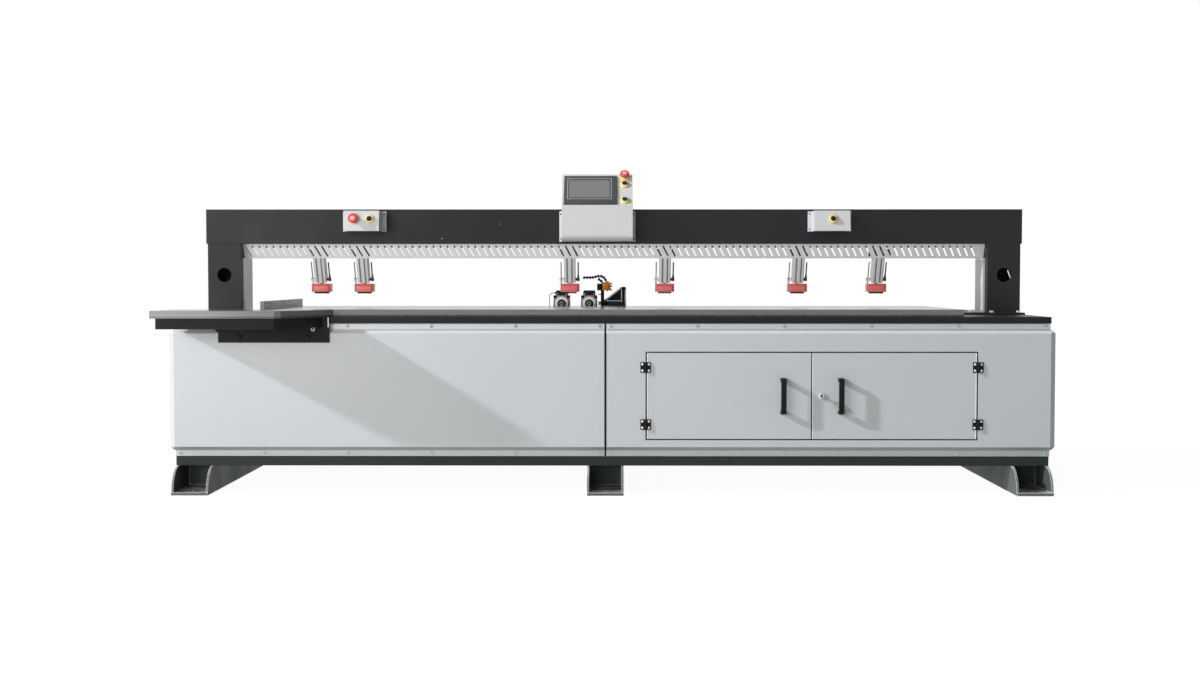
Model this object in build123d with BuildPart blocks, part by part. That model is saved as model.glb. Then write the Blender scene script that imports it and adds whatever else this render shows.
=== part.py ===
from build123d import *
import os
from math import atan2, ceil, cos, pi, radians, sin, tan

# A numerically controlled drilling machine for the edges of furniture panels.
# Millimetres. X runs to the operator's right, Y away from the operator, Z up.
# The origin is on the floor, at the middle of the body's length and depth.

os.makedirs("parts", exist_ok=True)

# Body frame
body_length = 3356.0
body_depth = 1080.0
foot_height = 104.0
frame_height = 548.0
frame_bar = 60.0
frame_wall = 4.0
seam_x = -24.0

# Feet
foot_end_inset = 74.0
foot_width = 140.0
foot_plate = 12.0
foot_side = 8.0
foot_web = 8.0
foot_web_setback = 140.0
foot_reach = 95.0
foot_nose = 6.0
anchor_hole_r = 9.0
anchor_inset = 44.0

# Pressed sheet covers
panel_sheet = 2.0
panel_raise = 22.0
panel_flange = 22.0
panel_slope = 15.0
panel_gap = 7.0
panel_top_gap = 1.0
rail_show = 37.0

# Cover screws
screw_r = 3.0
screw_head_r = 6.0
screw_head = 3.0
screw_socket_r = 2.4
screw_socket = 1.8
screw_grip = 12.0
screw_clear = 0.1
screw_inset = 18.0
end_screw_inset = 90.0
front_screw_count = 6
end_screw_count = 4

# Bed, table board, wing board and fence
bed_edge = 25.0
bed_skin = 10.0
bed_rib = 20.0
drill_bay = 290.0
bed_pockets_x = 8
bed_pockets_y = 3
board_thickness = 28.0
board_edge = 1.0
board_rebate = 3.0
board_rebate_height = 5.5
table_left_inset = 318.0
table_right_inset = 329.0
table_rear_gap = 20.0
wing_reach = 288.0
wing_overhang = 14.5
wing_front_length = 471.5
wing_root_length = 622.5
wing_facet = 14.0
wing_inset = 17.0
wing_bar = 25.0
wing_bar_height = 40.0
wing_plate = 8.0
wing_plate_height = 98.5
wing_plate_length = 425.0
wing_plate_inset = 10.0
wing_plate_corner = 22.0
wing_bolt_spacing = 262.0
wing_bolt_rise = 22.0
fence_inset = 17.5
fence_width = 15.0
fence_height = 31.0
fence_start = 2.0
fence_rear_gap = 10.0
fence_screw_share = 0.42

# Mounting bolts
bolt_r = 6.0
bolt_head_r = 10.0
bolt_head = 8.0
bolt_grip = 22.0

# Gantry
gantry_setback = 400.0
gantry_shift = 7.5
post_size = 140.0
post_width = 134.0
post_wall = 6.0
post_end_inset = 153.0
post_height = 288.5
post_flange = 8.0
post_flange_reach = 45.0
post_flange_out = 10.0
post_flange_in = 109.0
post_bolt_inset = 24.0
post_bolt_spacing = 108.0
cable_hole_r = 28.5
cable_hole_rise = 161.0
beam_overhang = 6.0

# Slotted clamp rail and its legs
leg_thickness = 9.0
leg_depth = 133.0
leg_setback = 40.0
leg_foot = 50.0
leg_foot_plate = 8.0
rail_sheet = 4.0
rail_drop = 66.0
rail_lip = 8.0
rail_flange_depth = 104.0
rail_setback = 44.0
slot_pitch = 28.7
slot_length = 55.0
slot_width = 6.5
slot_lean = 25.0
slot_left_margin = 18.3
slot_right_margin = 45.0

# Pneumatic clamps
clamp_x = (-1214.0, -1035.0, -174.0, 222.0, 776.0, 1106.0)
clamp_tilt = 27.0
clamp_size = 48.0
clamp_corner = 6.0
clamp_length = 150.0
clamp_cap = 14.0
clamp_groove = 6.0
clamp_groove_depth = 4.0
clamp_groove_offset = 10.0
clamp_top_gap = 2.0
clamp_stroke = 55.0
clamp_rod_r = 8.0
clamp_rod_engage = 30.0
guide_rod_r = 3.0
guide_offset = 36.0
guide_rod_length = 103.0
guide_eye = 14.0
guide_eye_height = 10.0
press_gap = 2.0
press_width = 79.0
press_depth = 62.0
press_height = 34.0
press_corner = 11.0
pad_width = 55.0
pad_depth = 48.0
pad_thickness = 7.0
tube_r = 3.0
fitting_size = 10.0
fitting_height = 12.0
tube_start = 65.0

# Operator console on the beam
console_x = -58.0
console_width = 286.0
console_depth = 100.0
console_lift = 8.0
console_knee = 12.0
console_rise = 132.0
console_top_depth = 70.0
console_sheet = 2.0
console_lip_r = 26.0
console_ear = 12.0
console_ear_height = 124.0
box_ear = 17.0
screen_width = 215.0
screen_height = 168.0
screen_bezel = 8.0
screen_taper = 20.0
screen_border = 6.0
screen_body = 35.0
screen_shift = -28.0
screen_rise = -6.0
screen_clear = 0.3
button_column = 111.0
stop_rise = 73.0
upper_button_rise = 29.0
lower_button_rise = -67.0

# Small button boxes on the beam
box_height = 82.0
box_drop = 8.5
box_depth = 98.0
box_lean = 8.0
box_width = 143.0
left_box_x = -1008.0
right_box_x = 888.0
left_stop_dx = -32.0
left_button_dx = 33.0
right_button_dx = 2.0
box_button_rise = 7.0

# Buttons
button_r = 9.0
button_clear = 0.05
button_hole_r = 11.0
button_seat_clear = 0.1
ring_r = 14.5
ring_height = 5.0
collar_r = 19.5
collar_height = 3.0
button_stand = 4.0
button_press = 3.0
button_body = 22.0
stop_head_r = 20.0
stop_head = 14.0
stop_round = 5.0
button_round = 1.0
stop_press = 4.0

# Cabinet doors
door_left_x = 130.0
door_right_x = 1400.0
door_low = 205.0
door_high = 544.0
door_gap = 4.5
door_depth = 20.0
hinge_half = 20.0
hinge_height = 40.0
leaf_thickness = 3.0
knuckle_r = 5.0
hinge_gap = 0.3
pin_r = 2.5
pin_clear = 0.05
hinge_inset = 60.0
handle_offset = 110.0
handle_height = 138.0
handle_width = 20.0
handle_reach = 40.0
handle_bar = 10.0
handle_foot = 14.0
handle_round = 16.0
lock_offset = 37.0
lock_bezel_r = 11.0
lock_bezel = 5.0
lock_body_r = 8.0
lock_body = 28.0
plug_r = 5.0
key_bow = 24.0
key_reach = 30.0
key_thickness = 2.0
cam_length = 28.0
cam_width = 10.0
cam_gap = 0.5
cam_thickness = 3.0

# Cabinet inside
cabinet_depth = 300.0
cabinet_sheet = 3.0
cabinet_height = 380.0
device_width = 60.0
device_height = 170.0
device_depth = 130.0
device_pitch = 150.0
device_count = 6
duct_height = 50.0
duct_depth = 50.0

# Drill head
spindle_rise = 9.0
head_x = -158.5
spindle_spacing = 121.0
spindle_size = 70.0
spindle_length = 140.0
spindle_notch = 12.0
spindle_notch_depth = 20.0
spindle_boss_r = 27.0
spindle_boss = 5.0
nose_r = 16.5
nose_length = 22.0
nose_round = 2.0
nose_shaft_r = 12.0
nose_shaft = 60.0
collet_r = 5.0
collet_depth = 18.0
running_clear = 0.05
spindle_plate = 15.0
spindle_plate_left = 125.0
spindle_plate_right = 108.0
terminal_width = 54.0
terminal_height = 22.0
terminal_round = 3.0
terminal_length = 60.0
terminal_setback = 30.0
lead_r = 1.5
lead_reach = 28.0
lead_bend = 20.0

# Feed and lift guides
guide_rail_width = 15.0
guide_rail_height = 13.0
guide_height = 24.0
guide_block_width = 34.0
guide_block_length = 45.0
guide_block_pitch = 75.0
guide_clear = 0.3
feed_rail_spacing = 120.0
feed_barrel = 20.0
feed_barrel_length = 86.0
feed_rod_r = 4.0
feed_lug = 12.0
knee_plate_thickness = 15.0
knee_left = 168.0
knee_right = 143.0
knee_gap = 10.0
lift_stroke = 40.0
lift_post_r = 10.0
lift_bush_r = 15.0
lift_bush = 20.0
lift_post_left = -150.0
lift_post_right = 126.0
lift_post_inset = 24.0
lift_barrel_r = 18.0
lift_barrel_length = 98.0
lift_rod_r = 8.0

# Carriage, its beam, rails, rack and drive
carriage_plate_thickness = 15.0
carriage_left = 175.0
carriage_right = 225.0
carriage_front = 16.0
carriage_rear = 10.0
x_rail_width = 20.0
x_rail_height = 18.0
x_guide_height = 30.0
x_block_width = 44.0
x_block_length = 70.0
x_rail_spacing = 70.0
rail_beam_width = 100.0
rail_beam_height = 80.0
rail_beam_wall = 6.0
rail_beam_setback = 45.0
rack_module = 2.5
pinion_teeth = 18
rack_body = 14.0
rack_width = 20.0
rack_drop = 6.0
rack_end_gap = 20.0
backlash = 0.12
servo_dx = 178.0
servo_size = 60.0
servo_length = 107.0
servo_corner = 5.0
servo_shaft_r = 7.0
servo_shaft_depth = 35.0
servo_hole_r = 9.0

# Bracket beside the servo, air valve and its jointed blow hoses
arm_sheet = 4.0
arm_bar = 18.0
arm_rise = 82.0
arm_left = 121.0
arm_right = 223.0
arm_foot_left = 150.0
arm_tip_rise = 16.0
arm_round = 8.0
arm_setback = 104.0
valve_post_dx = 111.5
valve_post_width = 15.0
valve_post_depth = 12.0
valve_post_setback = 92.0
valve_head = 20.0
valve_head_height = 30.0
valve_width = 34.0
valve_height = 36.0
valve_round = 4.0
valve_depth = 26.0
valve_rise = 96.0
hose_bead_r = 5.7
hose_neck_r = 3.2
hose_stem = 6.5
hose_step = 12.6
hose_gap = 0.15
hose_cup_start = 2.4
upright = 90.0
long_turns = (130, 129, 174, 185, 200, 185, 180, 180, 183)
short_turns = (140, 141)

# Levels that follow from the sizes above
front_y = -body_depth / 2
rear_y = body_depth / 2
face_y = front_y - panel_raise
frame_top = foot_height + frame_height
bed_top = frame_top + bed_edge
table_top = bed_top + board_thickness
bed_depth = body_depth - drill_bay
table_depth = bed_depth - table_rear_gap
bed_rear_y = front_y + bed_depth
beam_low = bed_top + post_height
beam_top = beam_low + post_size
gantry_y = front_y + gantry_setback
frame_half = body_length / 2
post_inner_x = frame_half - post_end_inset
beam_half = post_inner_x + post_width + beam_overhang
foot_x = frame_half - foot_end_inset
table_left = table_left_inset - frame_half
table_right = frame_half - table_right_inset
wing_left = -frame_half - wing_overhang
wing_front_right = wing_left + wing_front_length
wing_root_right = wing_left + wing_root_length
fence_x = table_left + fence_inset
fence_length = table_depth - fence_start - fence_rear_gap
fence_screw_pitch = fence_length * fence_screw_share
panel_low = foot_height + rail_show
panel_high = frame_top - panel_top_gap

spindle_z = table_top + spindle_rise
spindle_low = spindle_z - spindle_size / 2
spindle_plate_low = spindle_low - spindle_plate
knee_top = spindle_plate_low - guide_height
knee_low = knee_top - knee_plate_thickness
carriage_top = knee_low - knee_gap
carriage_low = carriage_top - carriage_plate_thickness
rail_beam_top = carriage_low - x_guide_height
rail_beam_low = rail_beam_top - rail_beam_height
rail_beam_rear = rear_y - frame_bar - rail_beam_setback
rail_beam_front = rail_beam_rear - rail_beam_width
rail_beam_y = (rail_beam_rear + rail_beam_front) / 2
carriage_front_y = bed_rear_y + carriage_front
carriage_rear_y = rear_y - frame_bar - carriage_rear


def block(x_span, y_span, z_span, mode=Mode.ADD):
    """A box between two limits along each axis."""
    middle = (sum(x_span) / 2, sum(y_span) / 2, sum(z_span) / 2)
    with Locations(middle):
        Box(x_span[1] - x_span[0], y_span[1] - y_span[0], z_span[1] - z_span[0], mode=mode)


def rod(plane, radius, length, mode=Mode.ADD):
    """A cylinder that starts on a plane and runs along the plane's normal."""
    with BuildSketch(plane) as disc:
        Circle(radius)
    extrude(disc.sketch, amount=length, mode=mode)


def along_y(x, y, z):
    """A plane whose normal points away from the operator."""
    return Plane(origin=(x, y, z), x_dir=(1, 0, 0), z_dir=(0, 1, 0))


def leaning(x, y, z, lean):
    """A plane that faces the operator and leans back by an angle from the vertical."""
    return Plane(origin=(x, y, z), x_dir=(1, 0, 0), z_dir=(0, -cos(radians(lean)), sin(radians(lean))))


# Floor feet: a base plate with two cross webs and two side plates whose ends are rounded gussets
foot_length = body_depth + 2 * foot_reach
foot_centres = (-foot_x, seam_x, foot_x)
with BuildPart() as floor_feet:
    for x in foot_centres:
        plate_x = (x - foot_width / 2, x + foot_width / 2)
        block(plate_x, (-foot_length / 2, foot_length / 2), (0, foot_plate))
        for side in (x - foot_width / 2, x + foot_width / 2 - foot_side):
            with BuildSketch(Plane.YZ.offset(side)):
                with BuildLine():
                    gusset = foot_reach - foot_nose
                    rise = foot_height - foot_plate
                    front_arc = EllipticalCenterArc((front_y, foot_plate), gusset, rise, 90, arc_size=90)
                    rear_arc = EllipticalCenterArc((rear_y, foot_plate), gusset, rise, 0, arc_size=90)
                    Line(front_arc @ 0, rear_arc @ 1)
                    Line(front_arc @ 1, rear_arc @ 0)
                make_face()
            extrude(amount=foot_side)
        for y in (front_y + foot_web_setback, rear_y - foot_web_setback):
            block(plate_x, (y - foot_web / 2, y + foot_web / 2), (0, foot_height))
        for y in (front_y - anchor_inset, rear_y + anchor_inset):
            rod(Plane.XY.move(Location((x, y, 0))), anchor_hole_r, foot_plate, Mode.SUBTRACT)
floor_feet.part.label = "floor_feet"
export_step(floor_feet.part, "parts/floor_feet.step")

# The covers: each has a plane on the frame's face, a width, a screw count and a screw inset
cover_height = panel_high - panel_low
cover_z = (panel_high + panel_low) / 2
left_width = seam_x - panel_gap / 2 + frame_half
right_width = frame_half - seam_x - panel_gap / 2
left_middle = (seam_x - panel_gap / 2 - frame_half) / 2
right_middle = (seam_x + panel_gap / 2 + frame_half) / 2


def front_plane(x):
    """A plane on the frame's front face."""
    return Plane(origin=(x, front_y, cover_z), x_dir=(1, 0, 0), z_dir=(0, -1, 0))


def rear_plane(x):
    """A plane on the frame's rear face."""
    return Plane(origin=(x, rear_y, cover_z), x_dir=(-1, 0, 0), z_dir=(0, 1, 0))


def end_plane(side):
    """A plane on one end of the frame."""
    return Plane(origin=(side * frame_half, 0, cover_z), x_dir=(0, side, 0), z_dir=(side, 0, 0))


left_cover = (front_plane(left_middle), left_width, front_screw_count, screw_inset)
right_cover = (front_plane(right_middle), right_width, front_screw_count, screw_inset)
rear_covers = (
    (rear_plane(left_middle), left_width, front_screw_count, screw_inset),
    (rear_plane(right_middle), right_width, front_screw_count, screw_inset),
)
end_cover_pair = (
    (end_plane(-1), body_depth, end_screw_count, end_screw_inset),
    (end_plane(1), body_depth, end_screw_count, end_screw_inset),
)
all_covers = (left_cover, right_cover, *rear_covers, *end_cover_pair)


def screw_points(width, count, inset):
    """The places of a cover's screws, in two rows along its flanges."""
    row = cover_height / 2 - panel_flange / 2
    first = inset - width / 2
    step = (width - 2 * inset) / (count - 1)
    return [(first + step * i, level) for i in range(count) for level in (-row, row)]


def cover_section(half):
    """A section through the covers: flat strips at the top and bottom, and a raised band between them."""
    strip = half + panel_sheet
    crown = half + panel_raise
    side = [
        (strip, panel_low),
        (strip, panel_low + panel_flange),
        (crown, panel_low + panel_flange + panel_slope),
        (crown, panel_high - panel_flange - panel_slope),
        (strip, panel_high - panel_flange),
        (strip, panel_high),
    ]
    return side + [(-out, z) for out, z in reversed(side)]


def cover_form(inset):
    """The shape within the covers' outer faces, drawn in by an inset, its corners cut off at 45 degrees."""
    with BuildSketch(Plane.YZ) as across:
        Polygon(*cover_section(body_depth / 2), align=None)
        if inset:
            offset(amount=-inset, kind=Kind.INTERSECTION, mode=Mode.REPLACE)
    with BuildSketch(Plane.XZ) as along:
        Polygon(*cover_section(frame_half), align=None)
        if inset:
            offset(amount=-inset, kind=Kind.INTERSECTION, mode=Mode.REPLACE)
    with BuildSketch() as plan:
        Rectangle(body_length + 2 * panel_raise, body_depth + 2 * panel_raise)
        chamfer(vertices(), panel_raise)
        if inset:
            offset(amount=-inset, kind=Kind.INTERSECTION, mode=Mode.REPLACE)
    with BuildPart(mode=Mode.PRIVATE) as form:
        extrude(across.sketch, amount=body_length, both=True)
        extrude(along.sketch, amount=body_depth, both=True, mode=Mode.INTERSECT)
        extrude(plan.sketch, amount=frame_top, mode=Mode.INTERSECT)
    return form.part


outer_form = cover_form(0)
inner_form = cover_form(panel_sheet)


def banded_cover(cover, x_span, y_span, wall_x, wall_y):
    """One cover: the form between two limits, hollowed to a sheet with end walls, with its screw holes."""
    plane, width, count, inset = cover
    z_span = (panel_low, panel_high)
    hollow_x = (x_span[0] + wall_x, x_span[1] - wall_x)
    hollow_y = (y_span[0] + wall_y, y_span[1] - wall_y)
    with BuildPart(mode=Mode.PRIVATE) as hollow:
        add(inner_form)
        block(hollow_x, hollow_y, z_span, Mode.INTERSECT)
    with BuildPart(mode=Mode.PRIVATE) as sheet:
        add(outer_form)
        block(x_span, y_span, z_span, Mode.INTERSECT)
        add(hollow.part, mode=Mode.SUBTRACT)
        with BuildSketch(plane) as holes:
            with Locations(*screw_points(width, count, inset)):
                Circle(screw_r + screw_clear)
        extrude(holes.sketch, amount=panel_sheet, mode=Mode.SUBTRACT)
    return sheet.part


# Body frame: welded channels, open towards the inside
bar_half = frame_bar / 2
end_x = frame_half - bar_half
inner_y = bed_rear_y - bar_half
low_z = foot_height + bar_half
high_z = frame_top - bar_half
upright_y = (front_y + bar_half, inner_y, rear_y - bar_half)
east, west, north, south, up = (1, 0, 0), (-1, 0, 0), (0, 1, 0), (0, -1, 0), (0, 0, 1)


def frame_channel(start, along, opening, length):
    """One channel of the frame, from the centre of its first end."""
    with BuildSketch(Plane(origin=start, x_dir=opening, z_dir=along)) as profile:
        Rectangle(frame_bar, frame_bar)
        with Locations((frame_wall, 0)):
            Rectangle(frame_bar, frame_bar - 2 * frame_wall, mode=Mode.SUBTRACT)
    extrude(profile.sketch, amount=length)


with BuildPart() as body_frame:
    for z in (low_z, high_z):
        frame_channel((-frame_half, front_y + bar_half, z), east, north, body_length)
        frame_channel((-frame_half, rear_y - bar_half, z), east, south, body_length)
    frame_channel((-frame_half, inner_y, high_z), east, south, body_length)
    side_run = body_depth - 2 * frame_bar
    front_run = bed_depth - 2 * frame_bar
    rear_run = body_depth - bed_depth - frame_bar
    for x, opening in ((-end_x, east), (seam_x, east), (end_x, west)):
        frame_channel((x, front_y + frame_bar, low_z), north, opening, side_run)
        frame_channel((x, front_y + frame_bar, high_z), north, opening, front_run)
        frame_channel((x, bed_rear_y, rail_beam_low - bar_half), north, opening, rear_run)
        for y in upright_y:
            frame_channel((x, y, foot_height + frame_bar), up, opening, frame_height - 2 * frame_bar)
    for x, opening in ((-end_x, east), (end_x, west)):
        frame_channel((x, bed_rear_y, high_z), north, opening, rear_run)
    for plane, width, count, inset in all_covers:
        with BuildSketch(plane):
            with Locations(*screw_points(width, count, inset)):
                Circle(screw_r + screw_clear)
        extrude(amount=-screw_grip, mode=Mode.SUBTRACT)
body_frame.part.label = "body_frame"
export_step(body_frame.part, "parts/body_frame.step")

# Front covers, the right one with the cabinet's door opening
crown_half = frame_half + panel_raise
left_span = (-crown_half, seam_x - panel_gap / 2)
right_span = (seam_x + panel_gap / 2, crown_half)
with BuildPart() as left_front_panel:
    add(banded_cover(left_cover, left_span, (face_y, front_y), panel_sheet, 0))
left_front_panel.part.label = "left_front_panel"
export_step(left_front_panel.part, "parts/left_front_panel.step")

with BuildPart() as right_front_panel:
    add(banded_cover(right_cover, right_span, (face_y, front_y), panel_sheet, 0))
    block((door_left_x, door_right_x), (face_y, front_y), (door_low, door_high), Mode.SUBTRACT)
right_front_panel.part.label = "right_front_panel"
export_step(right_front_panel.part, "parts/right_front_panel.step")

# End covers between the front and rear covers
end_span = (front_y + panel_gap / 2, rear_y - panel_gap / 2)
end_bands = ((-crown_half, -frame_half), (frame_half, crown_half))
with BuildPart() as end_covers:
    for cover, x_span in zip(end_cover_pair, end_bands):
        add(banded_cover(cover, x_span, end_span, 0, panel_sheet))
end_covers.part.label = "end_covers"
export_step(end_covers.part, "parts/end_covers.step")

with BuildPart() as rear_panels:
    for cover, x_span in zip(rear_covers, (left_span, right_span)):
        add(banded_cover(cover, x_span, (rear_y, rear_y + panel_raise), panel_sheet, 0))
rear_panels.part.label = "rear_panels"
export_step(rear_panels.part, "parts/rear_panels.step")

# Fence along the table's left end, with counterbored screw holes
fence_front_y = front_y + fence_start
fence_mid_y = fence_front_y + fence_length / 2
fence_screw_y = [fence_mid_y + fence_screw_pitch * i for i in (-1, 0, 1)]
fence_top = table_top + fence_height
fence_bore_depth = fence_height - screw_grip / 2
with BuildPart() as side_fence:
    fence_x_span = (fence_x - fence_width / 2, fence_x + fence_width / 2)
    block(fence_x_span, (fence_front_y, fence_front_y + fence_length), (table_top, fence_top))
    with Locations(*[(fence_x, y, fence_top) for y in fence_screw_y]):
        CounterBoreHole(screw_r + screw_clear, screw_head_r + 2 * screw_clear, fence_bore_depth)
side_fence.part.label = "side_fence"
export_step(side_fence.part, "parts/side_fence.step")

# Cover screws and fence screws: a low round head with a hexagon socket
with BuildPart() as panel_screws:
    for plane, width, count, inset in all_covers:
        head_plane = plane.offset(panel_sheet)
        with BuildSketch(head_plane):
            with Locations(*screw_points(width, count, inset)):
                Circle(screw_head_r)
        extrude(amount=screw_head)
        with BuildSketch(head_plane):
            with Locations(*screw_points(width, count, inset)):
                Circle(screw_r)
        extrude(amount=-screw_grip)
        with BuildSketch(head_plane.offset(screw_head)):
            with Locations(*screw_points(width, count, inset)):
                RegularPolygon(screw_socket_r, 6)
        extrude(amount=-screw_socket, mode=Mode.SUBTRACT)
    for y in fence_screw_y:
        seat = Plane.XY.move(Location((fence_x, y, fence_top - fence_bore_depth)))
        rod(seat, screw_head_r, screw_head)
        rod(seat, screw_r, -screw_grip)
panel_screws.part.label = "panel_screws"
export_step(panel_screws.part, "parts/panel_screws.step")

# Bed plate: a ribbed plate on the frame that carries the table and the gantry
post_x_span = (post_inner_x, post_inner_x + post_width)
post_middle = sum(post_x_span) / 2
post_flange_x = (post_inner_x - post_flange_in, post_inner_x + post_width + post_flange_out)
post_y_span = (gantry_y, gantry_y + post_size)
post_flange_y = (gantry_y - post_flange_reach, gantry_y + post_size + post_flange_reach)
post_bolts = [
    (gantry_shift + side * x, y)
    for side in (-1, 1)
    for x in (post_middle - post_bolt_spacing / 2, post_middle + post_bolt_spacing / 2)
    for y in (post_flange_y[0] + post_bolt_inset, post_flange_y[1] - post_bolt_inset)
]
bed_pitch_x = (body_length - bed_rib) / bed_pockets_x
bed_span_y = bed_rear_y - face_y
bed_pitch_y = (bed_span_y - bed_rib) / bed_pockets_y
with BuildPart() as bed_plate:
    block((-frame_half, frame_half), (face_y, bed_rear_y), (frame_top, bed_top))
    with BuildSketch(Plane.XY.offset(frame_top)):
        with Locations((0, (face_y + bed_rear_y) / 2)):
            with GridLocations(bed_pitch_x, bed_pitch_y, bed_pockets_x, bed_pockets_y):
                Rectangle(bed_pitch_x - bed_rib, bed_pitch_y - bed_rib)
    extrude(amount=bed_edge - bed_skin, mode=Mode.SUBTRACT)
    with BuildSketch(Plane.XY.offset(bed_top)):
        with Locations(*post_bolts):
            Circle(bolt_r + screw_clear)
    extrude(amount=-bolt_grip, mode=Mode.SUBTRACT)
bed_plate.part.label = "bed_plate"
export_step(bed_plate.part, "parts/bed_plate.step")

# Table board and the wing board in front of its left end
table_rear_y = front_y + table_depth
with BuildPart() as table_board:
    block((table_left, table_right), (front_y, table_rear_y), (bed_top, table_top))
    chamfer(table_board.faces().sort_by(Axis.Z)[-1].edges(), board_edge)
    rebate_y = (front_y, front_y + board_rebate)
    rebate_z = (bed_top, bed_top + board_rebate_height)
    block((table_left, table_right), rebate_y, rebate_z, Mode.SUBTRACT)
    with BuildSketch(Plane.XY.offset(table_top)):
        with Locations(*[(fence_x, y) for y in fence_screw_y]):
            Circle(screw_r + screw_clear)
    extrude(amount=-screw_grip, mode=Mode.SUBTRACT)
table_board.part.label = "table_board"
export_step(table_board.part, "parts/table_board.step")

wing_front_y = front_y - wing_reach
wing_lean = (wing_root_right - wing_front_right) / wing_reach
wing_outline = [
    (wing_left, front_y),
    (wing_left, wing_front_y),
    (wing_front_right - wing_facet, wing_front_y),
    (wing_front_right + wing_lean * wing_facet, wing_front_y + wing_facet),
    (wing_root_right, front_y),
]
with BuildPart() as wing_board:
    with BuildSketch(Plane.XY.offset(bed_top)):
        Polygon(*wing_outline, align=None)
    extrude(amount=board_thickness)
    chamfer(wing_board.faces().sort_by(Axis.Z)[-1].edges(), board_edge)
wing_board.part.label = "wing_board"
export_step(wing_board.part, "parts/wing_board.step")

# Wing bracket: bars under the wing's edges and a plate bolted to the front
wing_bar_low = bed_top - wing_bar_height
wing_plate_right = wing_root_right - wing_plate_inset
wing_plate_left = wing_plate_right - wing_plate_length
wing_plate_low = bed_top - wing_plate_height
wing_bolt_x = (wing_plate_left + wing_plate_right) / 2
wing_bolts = [(wing_bolt_x + i * wing_bolt_spacing / 2, wing_plate_low + wing_bolt_rise) for i in (-1, 1)]
wing_plate_outline = [
    (wing_plate_left, wing_plate_low),
    (wing_plate_right, wing_plate_low),
    (wing_plate_right, bed_top),
    (wing_plate_left - wing_plate_corner, bed_top),
    (wing_plate_left - wing_plate_corner, wing_bar_low),
    (wing_plate_left, wing_bar_low - wing_plate_corner),
]
with BuildPart() as wing_bracket:
    with BuildSketch(Plane.XY.offset(wing_bar_low)):
        Polygon(*wing_outline, align=None)
        offset(amount=-wing_inset, mode=Mode.REPLACE)
    extrude(amount=wing_bar_height)
    with BuildSketch(Plane.XY.offset(wing_bar_low)):
        Polygon(*wing_outline, align=None)
        offset(amount=-wing_inset - wing_bar, mode=Mode.REPLACE)
    extrude(amount=wing_bar_height, mode=Mode.SUBTRACT)
    rear_cut = (face_y - wing_plate, front_y)
    block((wing_left, wing_root_right), rear_cut, (wing_bar_low, bed_top), Mode.SUBTRACT)
    with BuildSketch(Plane(origin=(0, face_y, 0), x_dir=(1, 0, 0), z_dir=(0, -1, 0))):
        Polygon(*wing_plate_outline, align=None)
        with Locations(*wing_bolts):
            Circle(bolt_r + screw_clear, mode=Mode.SUBTRACT)
    extrude(amount=wing_plate)
    left_arm = (wing_left + wing_inset, wing_left + wing_inset + wing_bar)
    block(left_arm, (face_y - wing_plate, face_y), (wing_bar_low, bed_top))
wing_bracket.part.label = "wing_bracket"
export_step(wing_bracket.part, "parts/wing_bracket.step")

# Hexagon bolts of the gantry feet and the wing bracket
with BuildPart() as mounting_bolts:
    with BuildSketch(Plane.XY.offset(bed_top + post_flange)):
        with Locations(*post_bolts):
            RegularPolygon(bolt_head_r, 6)
    extrude(amount=bolt_head)
    with BuildSketch(Plane.XY.offset(bed_top + post_flange)):
        with Locations(*post_bolts):
            Circle(bolt_r)
    extrude(amount=-bolt_grip)
    wing_face = Plane(origin=(0, face_y - wing_plate, 0), x_dir=(1, 0, 0), z_dir=(0, -1, 0))
    with BuildSketch(wing_face):
        with Locations(*wing_bolts):
            RegularPolygon(bolt_head_r, 6)
    extrude(amount=bolt_head)
    with BuildSketch(wing_face):
        with Locations(*wing_bolts):
            Circle(bolt_r)
    extrude(amount=-wing_plate)
mounting_bolts.part.label = "mounting_bolts"
export_step(mounting_bolts.part, "parts/mounting_bolts.step")

# Gantry posts: square tubes on foot flanges, each with a cable hole in front
with BuildPart() as gantry_posts:
    for side in (-1, 1):
        wall_x = tuple(sorted(gantry_shift + side * x for x in post_x_span))
        flange_x = tuple(sorted(gantry_shift + side * x for x in post_flange_x))
        hollow_x = (wall_x[0] + post_wall, wall_x[1] - post_wall)
        hollow_y = (post_y_span[0] + post_wall, post_y_span[1] - post_wall)
        block(flange_x, post_flange_y, (bed_top, bed_top + post_flange))
        block(wall_x, post_y_span, (bed_top, beam_low))
        block(hollow_x, hollow_y, (bed_top, beam_low), Mode.SUBTRACT)
        hole = along_y(sum(wall_x) / 2, gantry_y, bed_top + cable_hole_rise)
        rod(hole, cable_hole_r, post_wall, Mode.SUBTRACT)
    with BuildSketch(Plane.XY.offset(bed_top)):
        with Locations(*post_bolts):
            Circle(bolt_r + screw_clear)
    extrude(amount=post_flange, mode=Mode.SUBTRACT)
gantry_posts.part.label = "gantry_posts"
export_step(gantry_posts.part, "parts/gantry_posts.step")

# Gantry beam: a square tube with closed ends, open to the posts through cable holes
with BuildPart() as gantry_beam:
    beam_x = (gantry_shift - beam_half, gantry_shift + beam_half)
    block(beam_x, post_y_span, (beam_low, beam_top))
    hollow_y = (post_y_span[0] + post_wall, post_y_span[1] - post_wall)
    hollow_z = (beam_low + post_wall, beam_top - post_wall)
    block((beam_x[0] + post_wall, beam_x[1] - post_wall), hollow_y, hollow_z, Mode.SUBTRACT)
    for side in (-1, 1):
        hole_x = gantry_shift + side * post_middle
        hole = Plane.XY.move(Location((hole_x, gantry_y + post_size / 2, beam_low)))
        rod(hole, cable_hole_r, post_wall, Mode.SUBTRACT)
gantry_beam.part.label = "gantry_beam"
export_step(gantry_beam.part, "parts/gantry_beam.step")

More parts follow.
